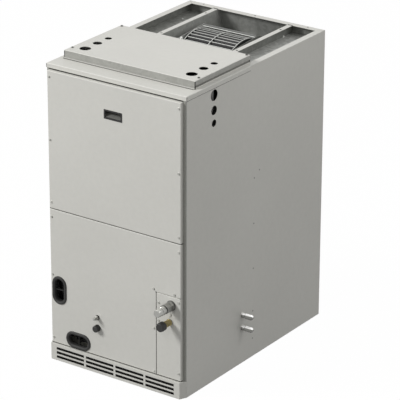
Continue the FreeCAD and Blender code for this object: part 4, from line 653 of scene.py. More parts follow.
def ribbon(path, half_width, half_thickness):
    """Flat band along a path in the YZ plane: its width runs along X, its thickness stands square to the
    path, and its section is a superellipse; the band closes to a point at each end."""
    along = np.gradient(path, axis=0)
    along = along / np.linalg.norm(along, axis=1)[:, None]
    wide = np.array((1.0, 0.0, 0.0))
    thick = np.cross(along, wide)
    cosine, sine = section_shares()
    width = half_width * cosine[None, :, None] * wide
    rim = width + half_thickness * sine[None, :, None] * thick[:, None, :]
    point = np.zeros_like(rim[:1])
    return np.concatenate([point + path[0], path[:, None, :] + rim, point + path[-1]])


def oval_rim(profile, middle, straight, radius, upright):
    """A closed profile carried round an oval: two half circles of a radius, set apart by straight each way.
    A profile row is the offset outwards from the oval and the height in front of the door."""
    rows = np.array(profile + profile[:1], dtype=float)
    right = np.linspace(-math.pi / 2, math.pi / 2, OVAL_POINTS)
    angle = np.concatenate([right, right + math.pi])
    shift = np.repeat([straight, -straight], OVAL_POINTS)
    reach = radius + rows[:, 0:1]
    along = shift + reach * np.cos(angle)
    across = reach * np.sin(angle)
    height = np.broadcast_to(rows[:, 1:2], along.shape)
    x, z = (across, along) if upright else (along, across)
    return np.stack([x, -height, z], axis=-1) + np.asarray(middle)


def mesh_object(name, points, faces, finish):
    """An object at the origin from arrays of points and faces."""
    mesh = bpy.data.meshes.new(name)
    mesh.from_pydata(points.tolist(), [], faces.tolist())
    mesh.materials.append(finish)
    made = bpy.data.objects.new(name, mesh)
    bpy.context.scene.collection.objects.link(made)
    return made


def grid_piece(name, grids, finish, body, stands_for=()):
    """One object from grids of points that close round their columns: quads between neighbours, poles
    merged, faces turned outwards, and smooth shading up to a sharp angle."""
    points = []
    faces = []
    count = 0
    for grid in grids:
        rows, columns = grid.shape[:2]
        corner = np.arange(rows - 1)[:, None] * columns + np.arange(columns)
        beside = np.arange(rows - 1)[:, None] * columns + (np.arange(columns) + 1) % columns
        quads = np.stack([corner, beside, beside + columns, corner + columns], axis=-1)
        faces.append(quads.reshape(-1, 4) + count)
        points.append(grid.reshape(-1, 3))
        count += rows * columns
    piece = mesh_object(name, np.concatenate(points), np.concatenate(faces), finish)
    mesh = piece.data
    shell = bmesh.new()
    shell.from_mesh(mesh)
    bmesh.ops.remove_doubles(shell, verts=shell.verts, dist=MERGE_REACH)
    bmesh.ops.recalc_face_normals(shell, faces=shell.faces)
    shell.to_mesh(mesh)
    shell.free()
    mesh.shade_smooth()
    mesh.set_sharp_from_angle(angle=math.radians(SHARP_DEGREES))
    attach(piece, body)
    if stands_for:
        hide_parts(*stands_for)


# Screws and rivets. A place on the right side or on a rail is y and z, a place on a shelf is x and y.
HEAD_HEIGHT = 0.0024
HEAD_SPREAD = 0.010
FACE_REACH = 1e-5
SCREW_SIDES = 24
SCREW_PROFILE = [
    (-0.0070, 0.0), (-0.0062, 0.0012), (-0.0050, 0.0020), (0.0, 0.0020), (0.0, 0.0041), (0.0004, 0.0042),
    (0.0008, 0.0036), (0.0009, 0.0030, 1), (0.0024, 0.0029, 1), (0.0028, 0.0024, 0.6), (0.0028, 0.0018),
    (0.0022, 0.0012), (0.0021, 0.0),
]
RIVET_SIDES = 20
RIVET_PROFILE = [
    (-0.0005, 0.0), (-0.0005, 0.0032), (0.0004, 0.0032), (0.0012, 0.0026), (0.0018, 0.0014), (0.0020, 0.0),
]
SIDE_SCREW_SCALE = 0.75
SIDE_SCREWS = (
    (-0.0145, 0.062), (-0.0145, 0.155), (-0.0145, 0.298), (-0.0145, 0.447), (-0.0145, 0.596),
    (0.0125, 0.614),
)
SHELF_RIVET = (-0.222, 0.281)
RAIL_RIVET = (0.2966, 0.938)


def outermost(points, axis, side):
    """The points that lie furthest along one axis, on the low or the high side."""
    reach = side * points[:, axis]
    return points[reach > reach.max() - FACE_REACH]


def head_places(points):
    """Middles of round screw heads from the points of their outer faces: points closer than a spread
    belong to one head, and its middle is half way between its lowest and highest corner."""
    apart = np.linalg.norm(points[:, None] - points[None], axis=-1)
    label = (apart < HEAD_SPREAD).argmax(axis=1)
    heads = [points[label == first] for first in np.unique(label)]
    return np.array([(head.min(axis=0) + head.max(axis=0)) / 2 for head in heads])


def screws(heads, facing):
    """Hexagon-headed screws with a washer flange and a dished top, each on the face behind its head."""
    grid = turned(SCREW_PROFILE, SCREW_SIDES)
    return [placed(grid, facing, head - HEAD_HEIGHT * facing[2]) for head in heads]


def make_screws():
    """Hexagon screws in place of the plain ones, small round ones on the right side, and two rivets."""
    for node, body in (("upper_panel_screws", "upper_panel"), ("lower_panel_screws", "lower_panel")):
        heads = head_places(outermost(node_points(node), 1, -1))
        grid_piece(node + "_hex", screws(heads, FACING_FRONT), SCREW, body, [node])
    heads = head_places(outermost(node_points("cover_screws"), 2, 1))
    grids = screws(heads, FACING_UP)
    grid_piece("cover_screws_hex", grids, COVER_SCREW, "cover", ["cover_screws"])
    points = node_points("cabinet_screws")
    grids = screws(head_places(outermost(points, 1, -1)), FACING_FRONT)
    grid_piece("cabinet_screws_hex", grids, SCREW, "cabinet", ["cabinet_screws"])
    # The shelf screws are those in the rear half of the cabinet.
    rear = points[points[:, 1] > 0.0]
    grids = screws(head_places(outermost(rear, 2, 1)), FACING_UP)
    grid_piece("shelf_screws_hex", grids, SCREW, "cabinet")
    rivet = turned(RIVET_PROFILE, RIVET_SIDES)
    small = SIDE_SCREW_SCALE * rivet
    grids = [placed(small, FACING_RIGHT, (SHELL_HIGH[0], *place)) for place in SIDE_SCREWS]
    grid_piece("side_screws", grids, SIDE_SCREW, "cabinet")
    shelf_top = corners("side_shelves")[1][2]
    web = corners("supply_rails")[1][0]
    grids = [
        placed(rivet, FACING_UP, (*SHELF_RIVET, shelf_top)),
        placed(rivet, FACING_RIGHT, (web, *RAIL_RIVET)),
    ]
    grid_piece("shelf_rivets", grids, RIVET_PAINTED_HIGHLIGHT, "cabinet")


# Refrigerant fittings: profiles outwards from the line plate. A ring is its place, half width and reach.
SUCTION_SIDES = 120
SUCTION_RIBS = 40
SUCTION_NECK = 0.0119
SUCTION_BODY = [
    (0.0, 0.0), (0.0, SUCTION_NECK), (0.0015, SUCTION_NECK), (0.0015, 0.0148), (0.0040, 0.0148),
    (0.0045, 0.0143), (0.0050, 0.0132, 0.6), (0.0060, 0.0140, 1), (0.0345, 0.0140, 1), (0.0353, 0.0132, 0.6),
    (0.0356, SUCTION_NECK), (0.0380, SUCTION_NECK), (0.0380, 0.0),
]
SUCTION_END = [
    (0.0370, 0.0), (0.0370, 0.0120), (0.0372, 0.0126), (0.0378, 0.0130), (0.0400, 0.0132, 0, 0.0002),
    (0.0520, 0.0132, 0, 0.0002), (0.0526, 0.0126), (0.0530, 0.0112), (0.0546, 0.0112), (0.0549, 0.0122),
    (0.0706, 0.0119), (0.0724, 0.0113), (0.0733, 0.0100), (0.0735, 0.0080), (0.0729, 0.0062), (0.0729, 0.0),
]
RING_SIDES = 48
RING_RIM_SHARE = 0.92
SUCTION_RINGS = ((0.0014, 0.0010, 0.0162), (0.0362, 0.0006, 0.0138))
LIQUID_SIDES = 72
LIQUID_BODY = [
    (0.0, 0.0), (0.0, 0.0104), (0.0022, 0.0104), (0.0026, 0.0098), (0.0028, 0.0082), (0.0120, 0.0080),
    (0.0124, 0.0090, 0.5), (0.0134, 0.0095, 1), (0.0262, 0.0095, 1), (0.0272, 0.0089, 0.5), (0.0276, 0.0078),
    (0.0308, 0.0076), (0.0310, 0.0062),
]
LIQUID_TIP = [(-0.001, 0.0062), (0.0, 0.0054), (0.0, 0.0)]


def seal_ring(height, half, reach):
    """Closed profile of a rubber ring with a rounded rim round the suction fitting's neck."""
    rim = RING_RIM_SHARE * reach
    neck = SUCTION_NECK
    rows = [(-half, neck), (-half, rim), (0.0, reach), (half, rim), (half, neck), (-half, neck)]
    return [(height + along, radius) for along, radius in rows]


def make_suction_fitting():
    """Nickel fitting: a dull hexagon on a collar, a bright ribbed end, and a black ring behind each."""
    low, high = corners("suction_fitting")
    x, _, z = (low + high) / 2
    place = (x, high[1], z)
    grid = placed(turned(SUCTION_BODY, SUCTION_SIDES), FACING_FRONT, place)
    grid_piece("suction_fitting_turned", [grid], BRIGHT, "cabinet", ["suction_fitting"])
    grid = placed(turned(SUCTION_END, SUCTION_SIDES, SUCTION_RIBS), FACING_FRONT, place)
    grid_piece("suction_end_turned", [grid], END, "cabinet")
    grids = [placed(turned(seal_ring(*ring), RING_SIDES), FACING_FRONT, place) for ring in SUCTION_RINGS]
    grid_piece("suction_rings", grids, FOAM, "cabinet")


def make_liquid_fitting():
    """Brass fitting: flange, neck, a chamfered hexagon, a step, and a spigot for the cap."""
    low, high = corners("liquid_fitting")
    x, _, z = (low + high) / 2
    reach = high[1] - low[1]
    tip = [(reach + along, radius) for along, radius in LIQUID_TIP]
    grid = placed(turned(LIQUID_BODY + tip, LIQUID_SIDES), FACING_FRONT, (x, high[1], z))
    grid_piece("liquid_fitting_turned", [grid], BRASS, "cabinet", ["liquid_fitting"])


# Caps: a black cap is its node, its body and its bore, a port cap its node and its body
BLACK_CAPS = (("liquid_cap", "liquid_line_cap", 0.00665), ("tap_cap", "tap_stub_cap", 0.0043))
CAP_SIDES = 144
CAP_RIBS = 24
CAP_RIB_DEPTH = 0.00035
CAP_WALL = 0.0025
CAP_DISH = 0.0003
CAP_DISH_SHARES = (0.35, 0.55)
CAP_EDGE_SHARE = 0.22
CAP_EDGE_POINTS = 7
CAP_RIB_TOP = 1.25
CAP_RIB_FOOT_SHARE = 0.16
CAP_SKIRT_SHARE = 0.12
CAP_SKIRT_WIDER = 1.01
PORT_CAPS = (("upper_port_cap", "upper_side_cap"), ("lower_port_cap", "lower_side_cap"))
PORT_SIDES = 96
PORT_BORE = 0.0048
PORT_BORE_PLAY = 0.0003
PORT_NOSE = 0.0030
PORT_TIP = 0.0012
PORT_TIP_SHARES = (0.55, 0.40)
STUB_RADIUS = 0.0080
STUB_SPIGOT = 0.0044
STUB_SHOULDER = 0.0024
STUB_PROUD = 0.0002
GRIP_PITCH = 0.0046
GRIP_FALL = 0.0019
GRIP_CONE = 0.92


def cap_profile(length, radius, bore):
    """Profile of a cap: from the middle of its closed end over a round edge, along the ribbed wall, round
    the open rim and back down the bore."""
    edge = CAP_EDGE_SHARE * length
    skirt = CAP_SKIRT_WIDER * radius
    middle, brim = (share * radius for share in CAP_DISH_SHARES)
    rows = [(length, 0.0), (length, middle), (length - CAP_DISH, brim)]
    for angle in np.linspace(0.0, math.pi / 2, CAP_EDGE_POINTS):
        rows.append((length - edge * (1 - math.cos(angle)), radius - edge * (1 - math.sin(angle))))
    for height in (length - CAP_RIB_TOP * edge, CAP_RIB_FOOT_SHARE * length):
        rows.append((height, radius, 0, CAP_RIB_DEPTH))
    rows += [(CAP_SKIRT_SHARE * length, skirt), (0.0, skirt), (0.0, bore)]
    return rows + [(length - CAP_WALL, bore), (length - CAP_WALL, 0.0)]


def grip_rings(start, end, radius):
    """Saw-tooth wall of grip rings: each ring narrows outwards along a cone, then steps back up."""
    count = round((end - start) / GRIP_PITCH)
    pitch = (end - start) / count
    rows = []
    for number in range(count):
        foot = start + number * pitch
        rows += [(foot, radius), (foot + GRIP_CONE * pitch, radius - GRIP_FALL)]
    return rows


def make_black_caps():
    """Black ribbed caps on the liquid fitting and the tap stub."""
    for node, body, bore in BLACK_CAPS:
        low, high = corners(node)
        x, _, z = (low + high) / 2
        _, length, width = high - low
        profile = cap_profile(length, width / 2, bore)
        grid = placed(turned(profile, CAP_SIDES, CAP_RIBS), FACING_FRONT, (x, high[1], z))
        grid_piece(node + "_ribbed", [grid], BLACK, body, [node])


def make_port_caps():
    """Plated ringed caps on the two side ports, and the ringed stubs that they sit on."""
    low, high = corners("port_stubs")
    sleeve = SHELL_HIGH[0] - low[0] + STUB_PROUD
    shoulder = corners("upper_port_cap")[0][0] - low[0] - STUB_SHOULDER
    length = high[0] - low[0]
    rows = [(0.0, 0.0), (0.0, STUB_RADIUS), (sleeve, STUB_RADIUS)]
    rows += grip_rings(sleeve, shoulder, STUB_RADIUS)
    rows += [(shoulder, STUB_SPIGOT), (length, STUB_SPIGOT), (length, 0.0)]
    stub = turned(rows, PORT_SIDES)
    stubs = []
    for node, body in PORT_CAPS:
        cap_low, cap_high = corners(node)
        _, y, z = (cap_low + cap_high) / 2
        length, _, width = cap_high - cap_low
        radius = width / 2
        bore_end = length / 2 + PORT_BORE_PLAY
        rows = [(bore_end, 0.0), (bore_end, PORT_BORE), (0.0, PORT_BORE)]
        rows += grip_rings(0.0, length - PORT_NOSE, radius)
        tip, end = (share * radius for share in PORT_TIP_SHARES)
        rows += [(length - PORT_TIP, tip), (length, end), (length, 0.0)]
        grid = placed(turned(rows, PORT_SIDES), FACING_RIGHT, (cap_low[0], y, z))
        grid_piece(node + "_ringed", [grid], PORT, body, [node])
        stubs.append(placed(stub, FACING_RIGHT, (low[0], y, z)))
    grid_piece("port_stubs_ringed", stubs, PORT, "cabinet", ["port_stubs"])


# Drain bezels: the rim's profile, then the web across it
BEZEL_RIM = 0.0098
BEZEL_PROFILE = [
    (0.0008, 0.0), (0.0008, 0.0010), (-0.0004, 0.0030), (-0.0024, 0.0042), (-0.0046, 0.0043),
    (-0.0068, 0.0034), (-0.0086, 0.0016), (-0.0098, -0.0012), (-0.0098, -0.0120), (-0.0058, -0.0120),
    (-0.0055, 0.0),
]
WEB_HALF_THICKNESS = 0.0010
WEB_HALF_DEPTH = 0.0045
WEB_SINK = 0.0070
WEB_OVERLAP = 0.0008


def make_bezels():
    """Rounded black rims with their sleeves through the door, and a thin web across each."""
    door = corners("lower_access_panel")[0][1]
    for node, upright in (("front_drain_bezel", False), ("side_drain_bezel", True)):
        low, high = corners(node)
        x, _, z = (low + high) / 2
        width, _, height = high - low
        radius = min(width, height) / 2
        straight = max(width, height) / 2 - radius
        rim = oval_rim(BEZEL_PROFILE, (x, door, z), straight, radius, upright)
        short, long = np.eye(3)[[0, 2]] if upright else np.eye(3)[[2, 0]]
        reach = (radius - BEZEL_RIM + WEB_OVERLAP) * short
        centre = np.array((x, door + WEB_SINK, z))
        web = strip(centre - reach, centre + reach, WEB_HALF_THICKNESS * long, (0.0, WEB_HALF_DEPTH, 0.0))
        grid_piece(node + "_round", [rim, web], RIM, "lower_panel", [node])


# Foam strips: broad grey beads beside the doors as painted shade, dark seals in the seams above, between and
# below them, dark also as painted shade, and grey beads under the cover as painted shade
EDGE_BEAD_CLEAR = 0.0004
EDGE_BEAD_SPARE = 0.0024
EDGE_BEAD_HALF = 0.0010
EDGE_BEAD_FOOT = 0.0005
SEAM_CLEAR = 0.0003
TOP_SEAM_PROUD = 0.0010
MIDDLE_SEAM_SINK = 0.0025
LOW_SEAM_SINK = 0.0010
COVER_BEAD_INSET = 0.0072
COVER_BEAD_HALF = (0.0056, 0.0, 0.0058)
COVER_BEAD_FRONT = 0.003
COVER_BEAD_REAR = 0.004


def make_seals():
    """Foam on the cabinet: broad grey beads beside the doors that paint the shade in the corners there,
    flush dark seals in the seams above, between and below them, dark also as painted shade in the seams, and
    a grey bead under each side of the cover as painted shade in the gap there."""
    upper_low, upper_high = corners("upper_access_panel")
    lower_low, lower_high = corners("lower_access_panel")
    front = SHELL_LOW[1]
    face = upper_low[1]
    edge = upper_high[0]
    lip = corners("top_cap")[0][2]
    kick = corners("kick_grille")[1][2]
    broad = SHELL_HIGH[0] - edge - EDGE_BEAD_SPARE
    half = (broad / 2, EDGE_BEAD_HALF, 0.0)
    sides = []
    for side in LEFT_AND_RIGHT:
        x = side * (edge + EDGE_BEAD_CLEAR + broad / 2)
        y = front - EDGE_BEAD_HALF
        sides.append(bar((x, y, kick + EDGE_BEAD_FOOT), (x, y, lip - SEAM_CLEAR), half))
    # Grey strips in the corners beside the doors: painted shade.
    grid_piece("door_side_shade_strip", sides, DOOR_EDGE_PAINTED_SHADE, "cabinet")
    seams = (
        (upper_high[2], lip, front - TOP_SEAM_PROUD),
        (lower_high[2], upper_low[2], face + MIDDLE_SEAM_SINK),
        (kick, lower_low[2], face + LOW_SEAM_SINK),
    )
    beads = []
    for low, high, near in seams:
        z = (low + high) / 2
        depth = (front - near) / 2
        y = front - depth
        beads.append(bar((-edge, y, z), (edge, y, z), (0.0, depth, (high - low) / 2 - SEAM_CLEAR)))
    # Dark seals in the door seams, dark also as painted shade in the seams.
    grid_piece("door_seam_seal_and_shade", beads, SEAM_FOAM_AND_SHADE, "cabinet")
    low, high = corners("top_cover")
    beads = []
    for side in LEFT_AND_RIGHT:
        x = side * (high[0] - COVER_BEAD_INSET)
        z = low[2] + COVER_BEAD_HALF[2]
        start = (x, low[1] + COVER_BEAD_FRONT, z)
        end = (x, high[1] - COVER_BEAD_REAR, z)
        beads.append(bar(start, end, COVER_BEAD_HALF))
    # Grey beads in the gaps under the cover's sides: painted shade.
    grid_piece("cover_gap_shade_strip", beads, COVER_GAP_PAINTED_SHADE, "cabinet")


# Trim round the cover: half widths of each bar, and its distance from the edge that it lies along
FOOT_HALF = (0.0, 0.0030, 0.0020)
FOOT_AHEAD = 0.0026
FOOT_LIFT = 0.0021
CORNER_HALF = (0.0013, 0.0013, 0.0)
CORNER_INSET = 0.0008
CORNER_FOOT = 0.001
CORNER_HEAD = 0.003
RIB_HALF = (0.0018, 0.0, 0.0018)
RIB_LIFT = 0.0019
RIB_FRONT = 0.003
RIB_REAR = 0.004
# Painted shadow lines before the cover's foot, under the cap's side lips, at the cap's front corners and at
# the rail ends
FOOT_SHADOW_HALF = (0.0, 0.0006, 0.0005)
FOOT_SHADOW_AHEAD = 0.0063
FOOT_SHADOW_LIFT = 0.0004
LIP_SHADOW_HALF = (0.0005, 0.0, 0.0007)
LIP_SHADOW_PROUD = 0.0003
LIP_SHADOW_FRONT = 0.002
LIP_SHADOW_REAR = 0.026
CAP_SHADOW_HALF = (0.0007, 0.0007, 0.0)
CAP_SHADOW_INSET = 0.0004
CAP_SHADOW_FOOT = 0.0015
CAP_SHADOW_HEAD = 0.002
REAR_FLANGE = 0.020
RAIL_FLANGE = 0.017
RAIL_SHADOW_HALF = (0.0, 0.0020, 0.0005)
RAIL_SHADOW_LIFT = 0.0002


def make_cover_trim():
    """Trim round the cover: a rounded foot along its front, darker than the cabinet as painted shade, dark
    seams at its front corners, and a rib on the cap along each side."""
    low, high = corners("top_cover")
    right, _, top = high
    _, front, seat = low
    y = front - FOOT_AHEAD
    z = seat + FOOT_LIFT
    foot = bar((-right, y, z), (right, y, z), FOOT_HALF)
    grid_piece("cover_foot", [foot], COVER_FOOT_PAINTED_SHADE, "cover")
    seams = []
    ribs = []
    for side in LEFT_AND_RIGHT:
        x = side * (right - CORNER_INSET)
        y = front + CORNER_INSET
        seams.append(bar((x, y, seat + CORNER_FOOT), (x, y, top - CORNER_HEAD), CORNER_HALF))
        x = side * right
        z = seat + RIB_LIFT
        ribs.append(bar((x, front + RIB_FRONT, z), (x, high[1] - RIB_REAR, z), RIB_HALF))
    grid_piece("cover_corner_seams", seams, SEAM_FOAM_AND_SHADE, "cover")
    grid_piece("cover_side_ribs", ribs, PAINT, "cabinet")


def make_painted_shadow_lines():
    """Painted shadow lines on the cabinet: thin dark bars before the cover's foot, under the cap's side
    lips, at the cap's front corners and at the rear ends of the supply rails."""
    cover_low, cover_high = corners("top_cover")
    low, high = corners("top_cap")
    rail_x, _, rail_top = corners("supply_rails")[1]
    right = cover_high[0]
    seat = cover_low[2]
    y = cover_low[1] - FOOT_SHADOW_AHEAD
    z = seat + FOOT_SHADOW_LIFT
    shadow_lines = [bar((-right, y, z), (right, y, z), FOOT_SHADOW_HALF)]
    lip = low[2] - LIP_SHADOW_HALF[2]
    for side in LEFT_AND_RIGHT:
        x = side * (SHELL_HIGH[0] + LIP_SHADOW_PROUD)
        ends = (low[1] + LIP_SHADOW_FRONT, high[1] - LIP_SHADOW_REAR)
        shadow_lines.append(bar((x, ends[0], lip), (x, ends[1], lip), LIP_SHADOW_HALF))
        x = side * (high[0] - CAP_SHADOW_INSET)
        y = low[1] + CAP_SHADOW_INSET
        shadow_lines.append(bar((x, y, lip + CAP_SHADOW_FOOT), (x, y, seat - CAP_SHADOW_HEAD), CAP_SHADOW_HALF))
        y = SHELL_HIGH[1] - REAR_FLANGE - RAIL_SHADOW_HALF[1]
        z = rail_top + RAIL_SHADOW_LIFT
        shadow_lines.append(bar((side * (rail_x - RAIL_FLANGE), y, z), (side * rail_x, y, z), RAIL_SHADOW_HALF))
    grid_piece("cover_shadow_lines", shadow_lines, SEAM_FOAM_AND_SHADE, "cabinet")


# Line plate: a painted shadow line in the seam down its left edge, and painted shadow dots on the door above
# its two upper corners
PLATE_SEAM = 0.0015
PLATE_SEAM_HALF = (0.45 * PLATE_SEAM, 0.0007, 0.0)
PLATE_SEAM_SINK = 0.0014
PLATE_SEAM_FOOT = 0.001
SHADOW_DOT_HALF = (0.0013, 0.0008, 0.0)
SHADOW_DOT_LEFT = 0.0010
SHADOW_DOT_RIGHT = 0.0018
SHADOW_DOT_SPAN = (0.0002, 0.0028)


def make_line_plate_trim():
    """A dark strip in the seam down the line plate's left edge and a small dark dot above each of its upper
    corners, as painted shadow.
    """
    low, high = corners("line_plate")
    x = low[0] - PLATE_SEAM / 2
    y = low[1] + PLATE_SEAM_SINK
    seam = bar((x, y, low[2] + PLATE_SEAM_FOOT), (x, y, high[2]), PLATE_SEAM_HALF)
    grid_piece("line_plate_shadow_line", [seam], SEAM_FOAM_AND_SHADE, "cabinet")
    foot, head = (high[2] + rise for rise in SHADOW_DOT_SPAN)
    places = (x - SHADOW_DOT_LEFT, high[0] - SHADOW_DOT_RIGHT)
    shadow_dots = [bar((place, low[1], foot), (place, low[1], head), SHADOW_DOT_HALF) for place in places]
    grid_piece("line_plate_shadow_dots", shadow_dots, SEAM_FOAM_AND_SHADE, "lower_panel")


# Wiring duct on the control panel
DUCT_X = 0.2306
DUCT_HALF = (0.0046, 0.0044, 0.0)
DUCT_SPAN = (0.790, 0.928)


def make_wire_duct():
    """White wiring duct up the right end of the control panel, behind the side conduit holes: a straight bar
    with a rounded section whose back lies on the panel."""
    y = corners("control_panel")[0][1] - DUCT_HALF[1]
    foot, head = DUCT_SPAN
    duct = bar((DUCT_X, y, foot), (DUCT_X, y, head), DUCT_HALF)
    grid_piece("wire_duct", [duct], DUCT, "cabinet")


# Screen behind the kick grille
SCREEN_REACH = 0.236
SCREEN_POINTS = 321
SCREEN_BEHIND = 0.0095
SCREEN_FOOT = 0.0018
SCREEN_SPARE = 0.0030
SCREEN_HALF = 0.0007
PLEAT_DEPTH = 0.0016
PLEAT_PITCH = 0.0118


def make_kick_screen():
    """Pleated black screen behind the slots: a thin bar along X whose depth follows a cosine of x."""
    low, high = corners("kick_grille")
    x = np.linspace(-SCREEN_REACH, SCREEN_REACH, SCREEN_POINTS)
    pleat = PLEAT_DEPTH * np.cos(x * (2 * math.pi / PLEAT_PITCH))
    half = (high - low)[2] / 2 - SCREEN_SPARE
    path = np.stack([x, low[1] + SCREEN_BEHIND + pleat, np.full(SCREEN_POINTS, half + SCREEN_FOOT)], axis=-1)
    size = np.ones(SCREEN_POINTS)
    size[[0, -1]] = 0.0
    rim = section((0.0, SCREEN_HALF, 0.0), (0.0, 0.0, half))
    grid = path[:, None, :] + size[:, None, None] * rim[None]
    grid_piece("kick_screen", [grid], SCREEN_FOAM, "cabinet")


# Blower: hoops round the wheel, and the trim of its mouth. Angles are in degrees round the wheel's axis.
HOOP_SIDES = 128
HOOP_HALF = 0.0011
HOOP_SECTION = [
    (-1.0, -0.0006), (-1.0, 0.0004), (-0.6, 0.0008), (0.6, 0.0008), (1.0, 0.0004), (1.0, -0.0006),
    (-1.0, -0.0006),
]
COLLAR_ARC = (28.0, 62.0)
COLLAR_POINTS = 22
COLLAR_RISE = 0.0045
COLLAR_HALF = 0.0055
COLLAR_SHIFT = 0.0006
COLLAR_CLEAR = 0.0008
CUTOFF_ANGLE = 20.3
CUTOFF_RISE = 0.0019
CUTOFF_END = 0.0005
LIP_HALF_HEIGHT = 0.0042
LIP_HALF_THICKNESS = 0.0006
BEAD_HALF = 0.0013
BEAD_AHEAD = 0.0019


def make_wheel_hoops():
    """Pale bands round the wheel at its two ends and its middle, each with a thin rounded section, as
    painted highlights on the wheel's rings.
    """
    hoops = []
    for x in (WHEEL_LOW[0] + HOOP_HALF, WHEEL_MIDDLE[0], WHEEL_HIGH[0] - HOOP_HALF):
        rows = [(x + share * HOOP_HALF, WHEEL_RADIUS + rise) for share, rise in HOOP_SECTION]
        hoops.append(placed(turned(rows, HOOP_SIDES), FACING_RIGHT, (0.0, *WHEEL_MIDDLE[1:])))
    grid_piece("wheel_hoops", hoops, PALE_ZINC_PAINTED_HIGHLIGHT, "blower_wheel")


def make_wheel_collar():
    """Pale collar from the left plate to the wheel, as a painted highlight: a band that follows the wheel's
    rim over an arc.
    """
    plate = corners("blower_left_plate")[1][0]
    end = WHEEL_LOW[0]
    reach = WHEEL_RADIUS + COLLAR_RISE
    turn = np.radians(np.linspace(*COLLAR_ARC, COLLAR_POINTS))
    x = np.full(COLLAR_POINTS, (plate + end) / 2 - COLLAR_SHIFT)
    y = WHEEL_MIDDLE[1] - reach * np.sin(turn)
    z = WHEEL_MIDDLE[2] + reach * np.cos(turn)
    collar = ribbon(np.stack([x, y, z], axis=-1), (end - plate) / 2 - COLLAR_CLEAR, COLLAR_HALF)
    grid_piece("wheel_collar", [collar], PALE_ZINC_PAINTED_HIGHLIGHT, "cabinet")


def make_cutoff():
    """At the blower's cutoff, a lip that reaches down to the wheel, dark grey as painted shade, and a bead
    along its foot, pale as a painted highlight.
    """
    turn = math.radians(CUTOFF_ANGLE)
    out = np.array((0.0, math.sin(turn), math.cos(turn)))
    ahead = np.array((0.0, -math.cos(turn), math.sin(turn)))
    axis = np.array((0.0, *WHEEL_MIDDLE[1:]))
    side = np.array((-corners("blower_left_plate")[1][0] - CUTOFF_END, 0.0, 0.0))
    foot = WHEEL_RADIUS + CUTOFF_RISE
    place = axis + (foot + LIP_HALF_HEIGHT) * out
    lip = strip(place - side, place + side, LIP_HALF_THICKNESS * ahead, LIP_HALF_HEIGHT * out)
    grid_piece("cutoff_lip", [lip], SCROLL_ZINC_PAINTED_SHADE, "cabinet")
    place = axis + (foot + BEAD_HALF) * out + BEAD_AHEAD * ahead
    bead = strip(place - side, place + side, BEAD_HALF * ahead, BEAD_HALF * out)
    grid_piece("cutoff_bead", [bead], HEM_ZINC_PAINTED_HIGHLIGHT, "cabinet")


# Studio
def floor_finish():
    """Pale floor: white where it is seen, with the object's shadow, and a plain grey to the light."""
    f = Finish("pale_floor")
    seen = f.seen()
    lit = f.node("ShaderNodeBsdfDiffuse", None, {"Color": f.blend(seen, FLOOR_BOUNCE, FLOOR_SEEN)})
    white = f.node("ShaderNodeEmission", None, {"Color": WHITE, "Strength": 1.0})
    shown = f.node("ShaderNodeMixShader", None, {0: FLOOR_WHITE * seen, 1: lit, 2: white})
    f.feed(f.tree.nodes["Material Output"].inputs["Surface"], shown)
    f.tree.nodes.remove(f.shader)
    return f.material


def make_floor():
    """A flat square grid under the object: x and y run evenly over its size, z is 0."""
    side = np.linspace(-FLOOR_SIZE / 2, FLOOR_SIZE / 2, FLOOR_POINTS)
    x, y = np.meshgrid(side, side)
    points = np.stack([x, y, np.zeros_like(x)], axis=-1).reshape(-1, 3)
    first = (np.arange(FLOOR_POINTS - 1)[:, None] * FLOOR_POINTS + np.arange(FLOOR_POINTS - 1)).ravel()
    faces = np.stack([first, first + 1, first + FLOOR_POINTS + 1, first + FLOOR_POINTS], axis=-1)
    floor = mesh_object("studio_floor", points, faces, floor_finish())


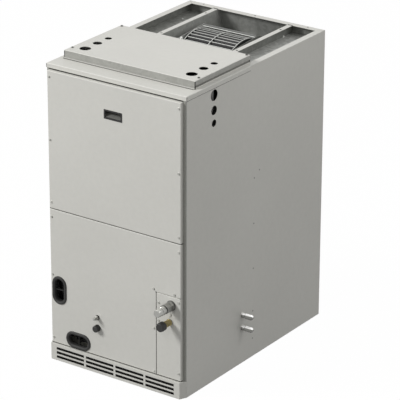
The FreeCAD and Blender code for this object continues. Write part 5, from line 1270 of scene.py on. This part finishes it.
def make_world():
    """White where the camera or a reflection sees it, and an even soft fill as light."""
    world = bpy.data.worlds.new("studio_world")
    bpy.context.scene.world = world
    world.use_nodes = True
    shading = Shading(world.node_tree)
    colour = shading.blend(shading.seen(), FILL, WHITE)
    shading.feed(world.node_tree.nodes["Background"].inputs["Color"], colour)


def make_lamp(name, towards, distance, power, size):
    """A soft disc lamp at a distance from the aim, turned to shine on it."""
    light = bpy.data.lights.new(name, "AREA")
    light.shape = "DISK"
    light.size = size
    light.energy = power
    lamp = bpy.data.objects.new(name, light)
    bpy.context.scene.collection.objects.link(lamp)
    x, y, z = np.array(towards) / np.linalg.norm(towards)
    lamp.location = (LAMP_AIM + distance * np.array((x, y, z))).tolist()
    lamp.rotation_euler = (math.acos(z), 0.0, math.atan2(y, x) + math.pi / 2)


def make_camera():
    """A long lens at the photograph's angle; the matrix columns are right, up, back and the place."""
    azimuth, elevation, roll = (math.radians(v) for v in (AZIMUTH, ELEVATION, ROLL))
    ahead = np.array((
        -math.sin(azimuth) * math.cos(elevation),
        math.cos(azimuth) * math.cos(elevation),
        -math.sin(elevation),
    ))
    level = np.array((math.cos(azimuth), math.sin(azimuth), 0.0))
    lift = np.cross(level, ahead)
    turn = np.eye(4)
    turn[:3, 0] = level * math.cos(roll) + lift * math.sin(roll)
    turn[:3, 1] = lift * math.cos(roll) - level * math.sin(roll)
    turn[:3, 2] = -ahead
    turn[:3, 3] = CAMERA_PLACE
    lens = bpy.data.cameras.new("photo_camera")
    lens.sensor_width = SENSOR
    lens.lens = FOCAL_PIXELS / IMAGE_PIXELS * SENSOR
    lens.clip_end = CAMERA_REACH
    camera = bpy.data.objects.new("photo_camera", lens)
    bpy.context.scene.collection.objects.link(camera)
    camera.matrix_world = turn.T.tolist()
    bpy.context.scene.camera = camera


dress_nodes()
make_screws()
make_suction_fitting()
make_liquid_fitting()
make_black_caps()
make_port_caps()
make_bezels()
make_seals()
make_cover_trim()
make_painted_shadow_lines()
make_line_plate_trim()
make_wire_duct()
make_kick_screen()
make_wheel_hoops()
make_wheel_collar()
make_cutoff()
make_floor()
make_world()
for lamp in LAMPS:
    make_lamp(*lamp)
make_camera()
bpy.context.scene.view_settings.view_transform = "Standard"
bpy.context.view_layer.update()
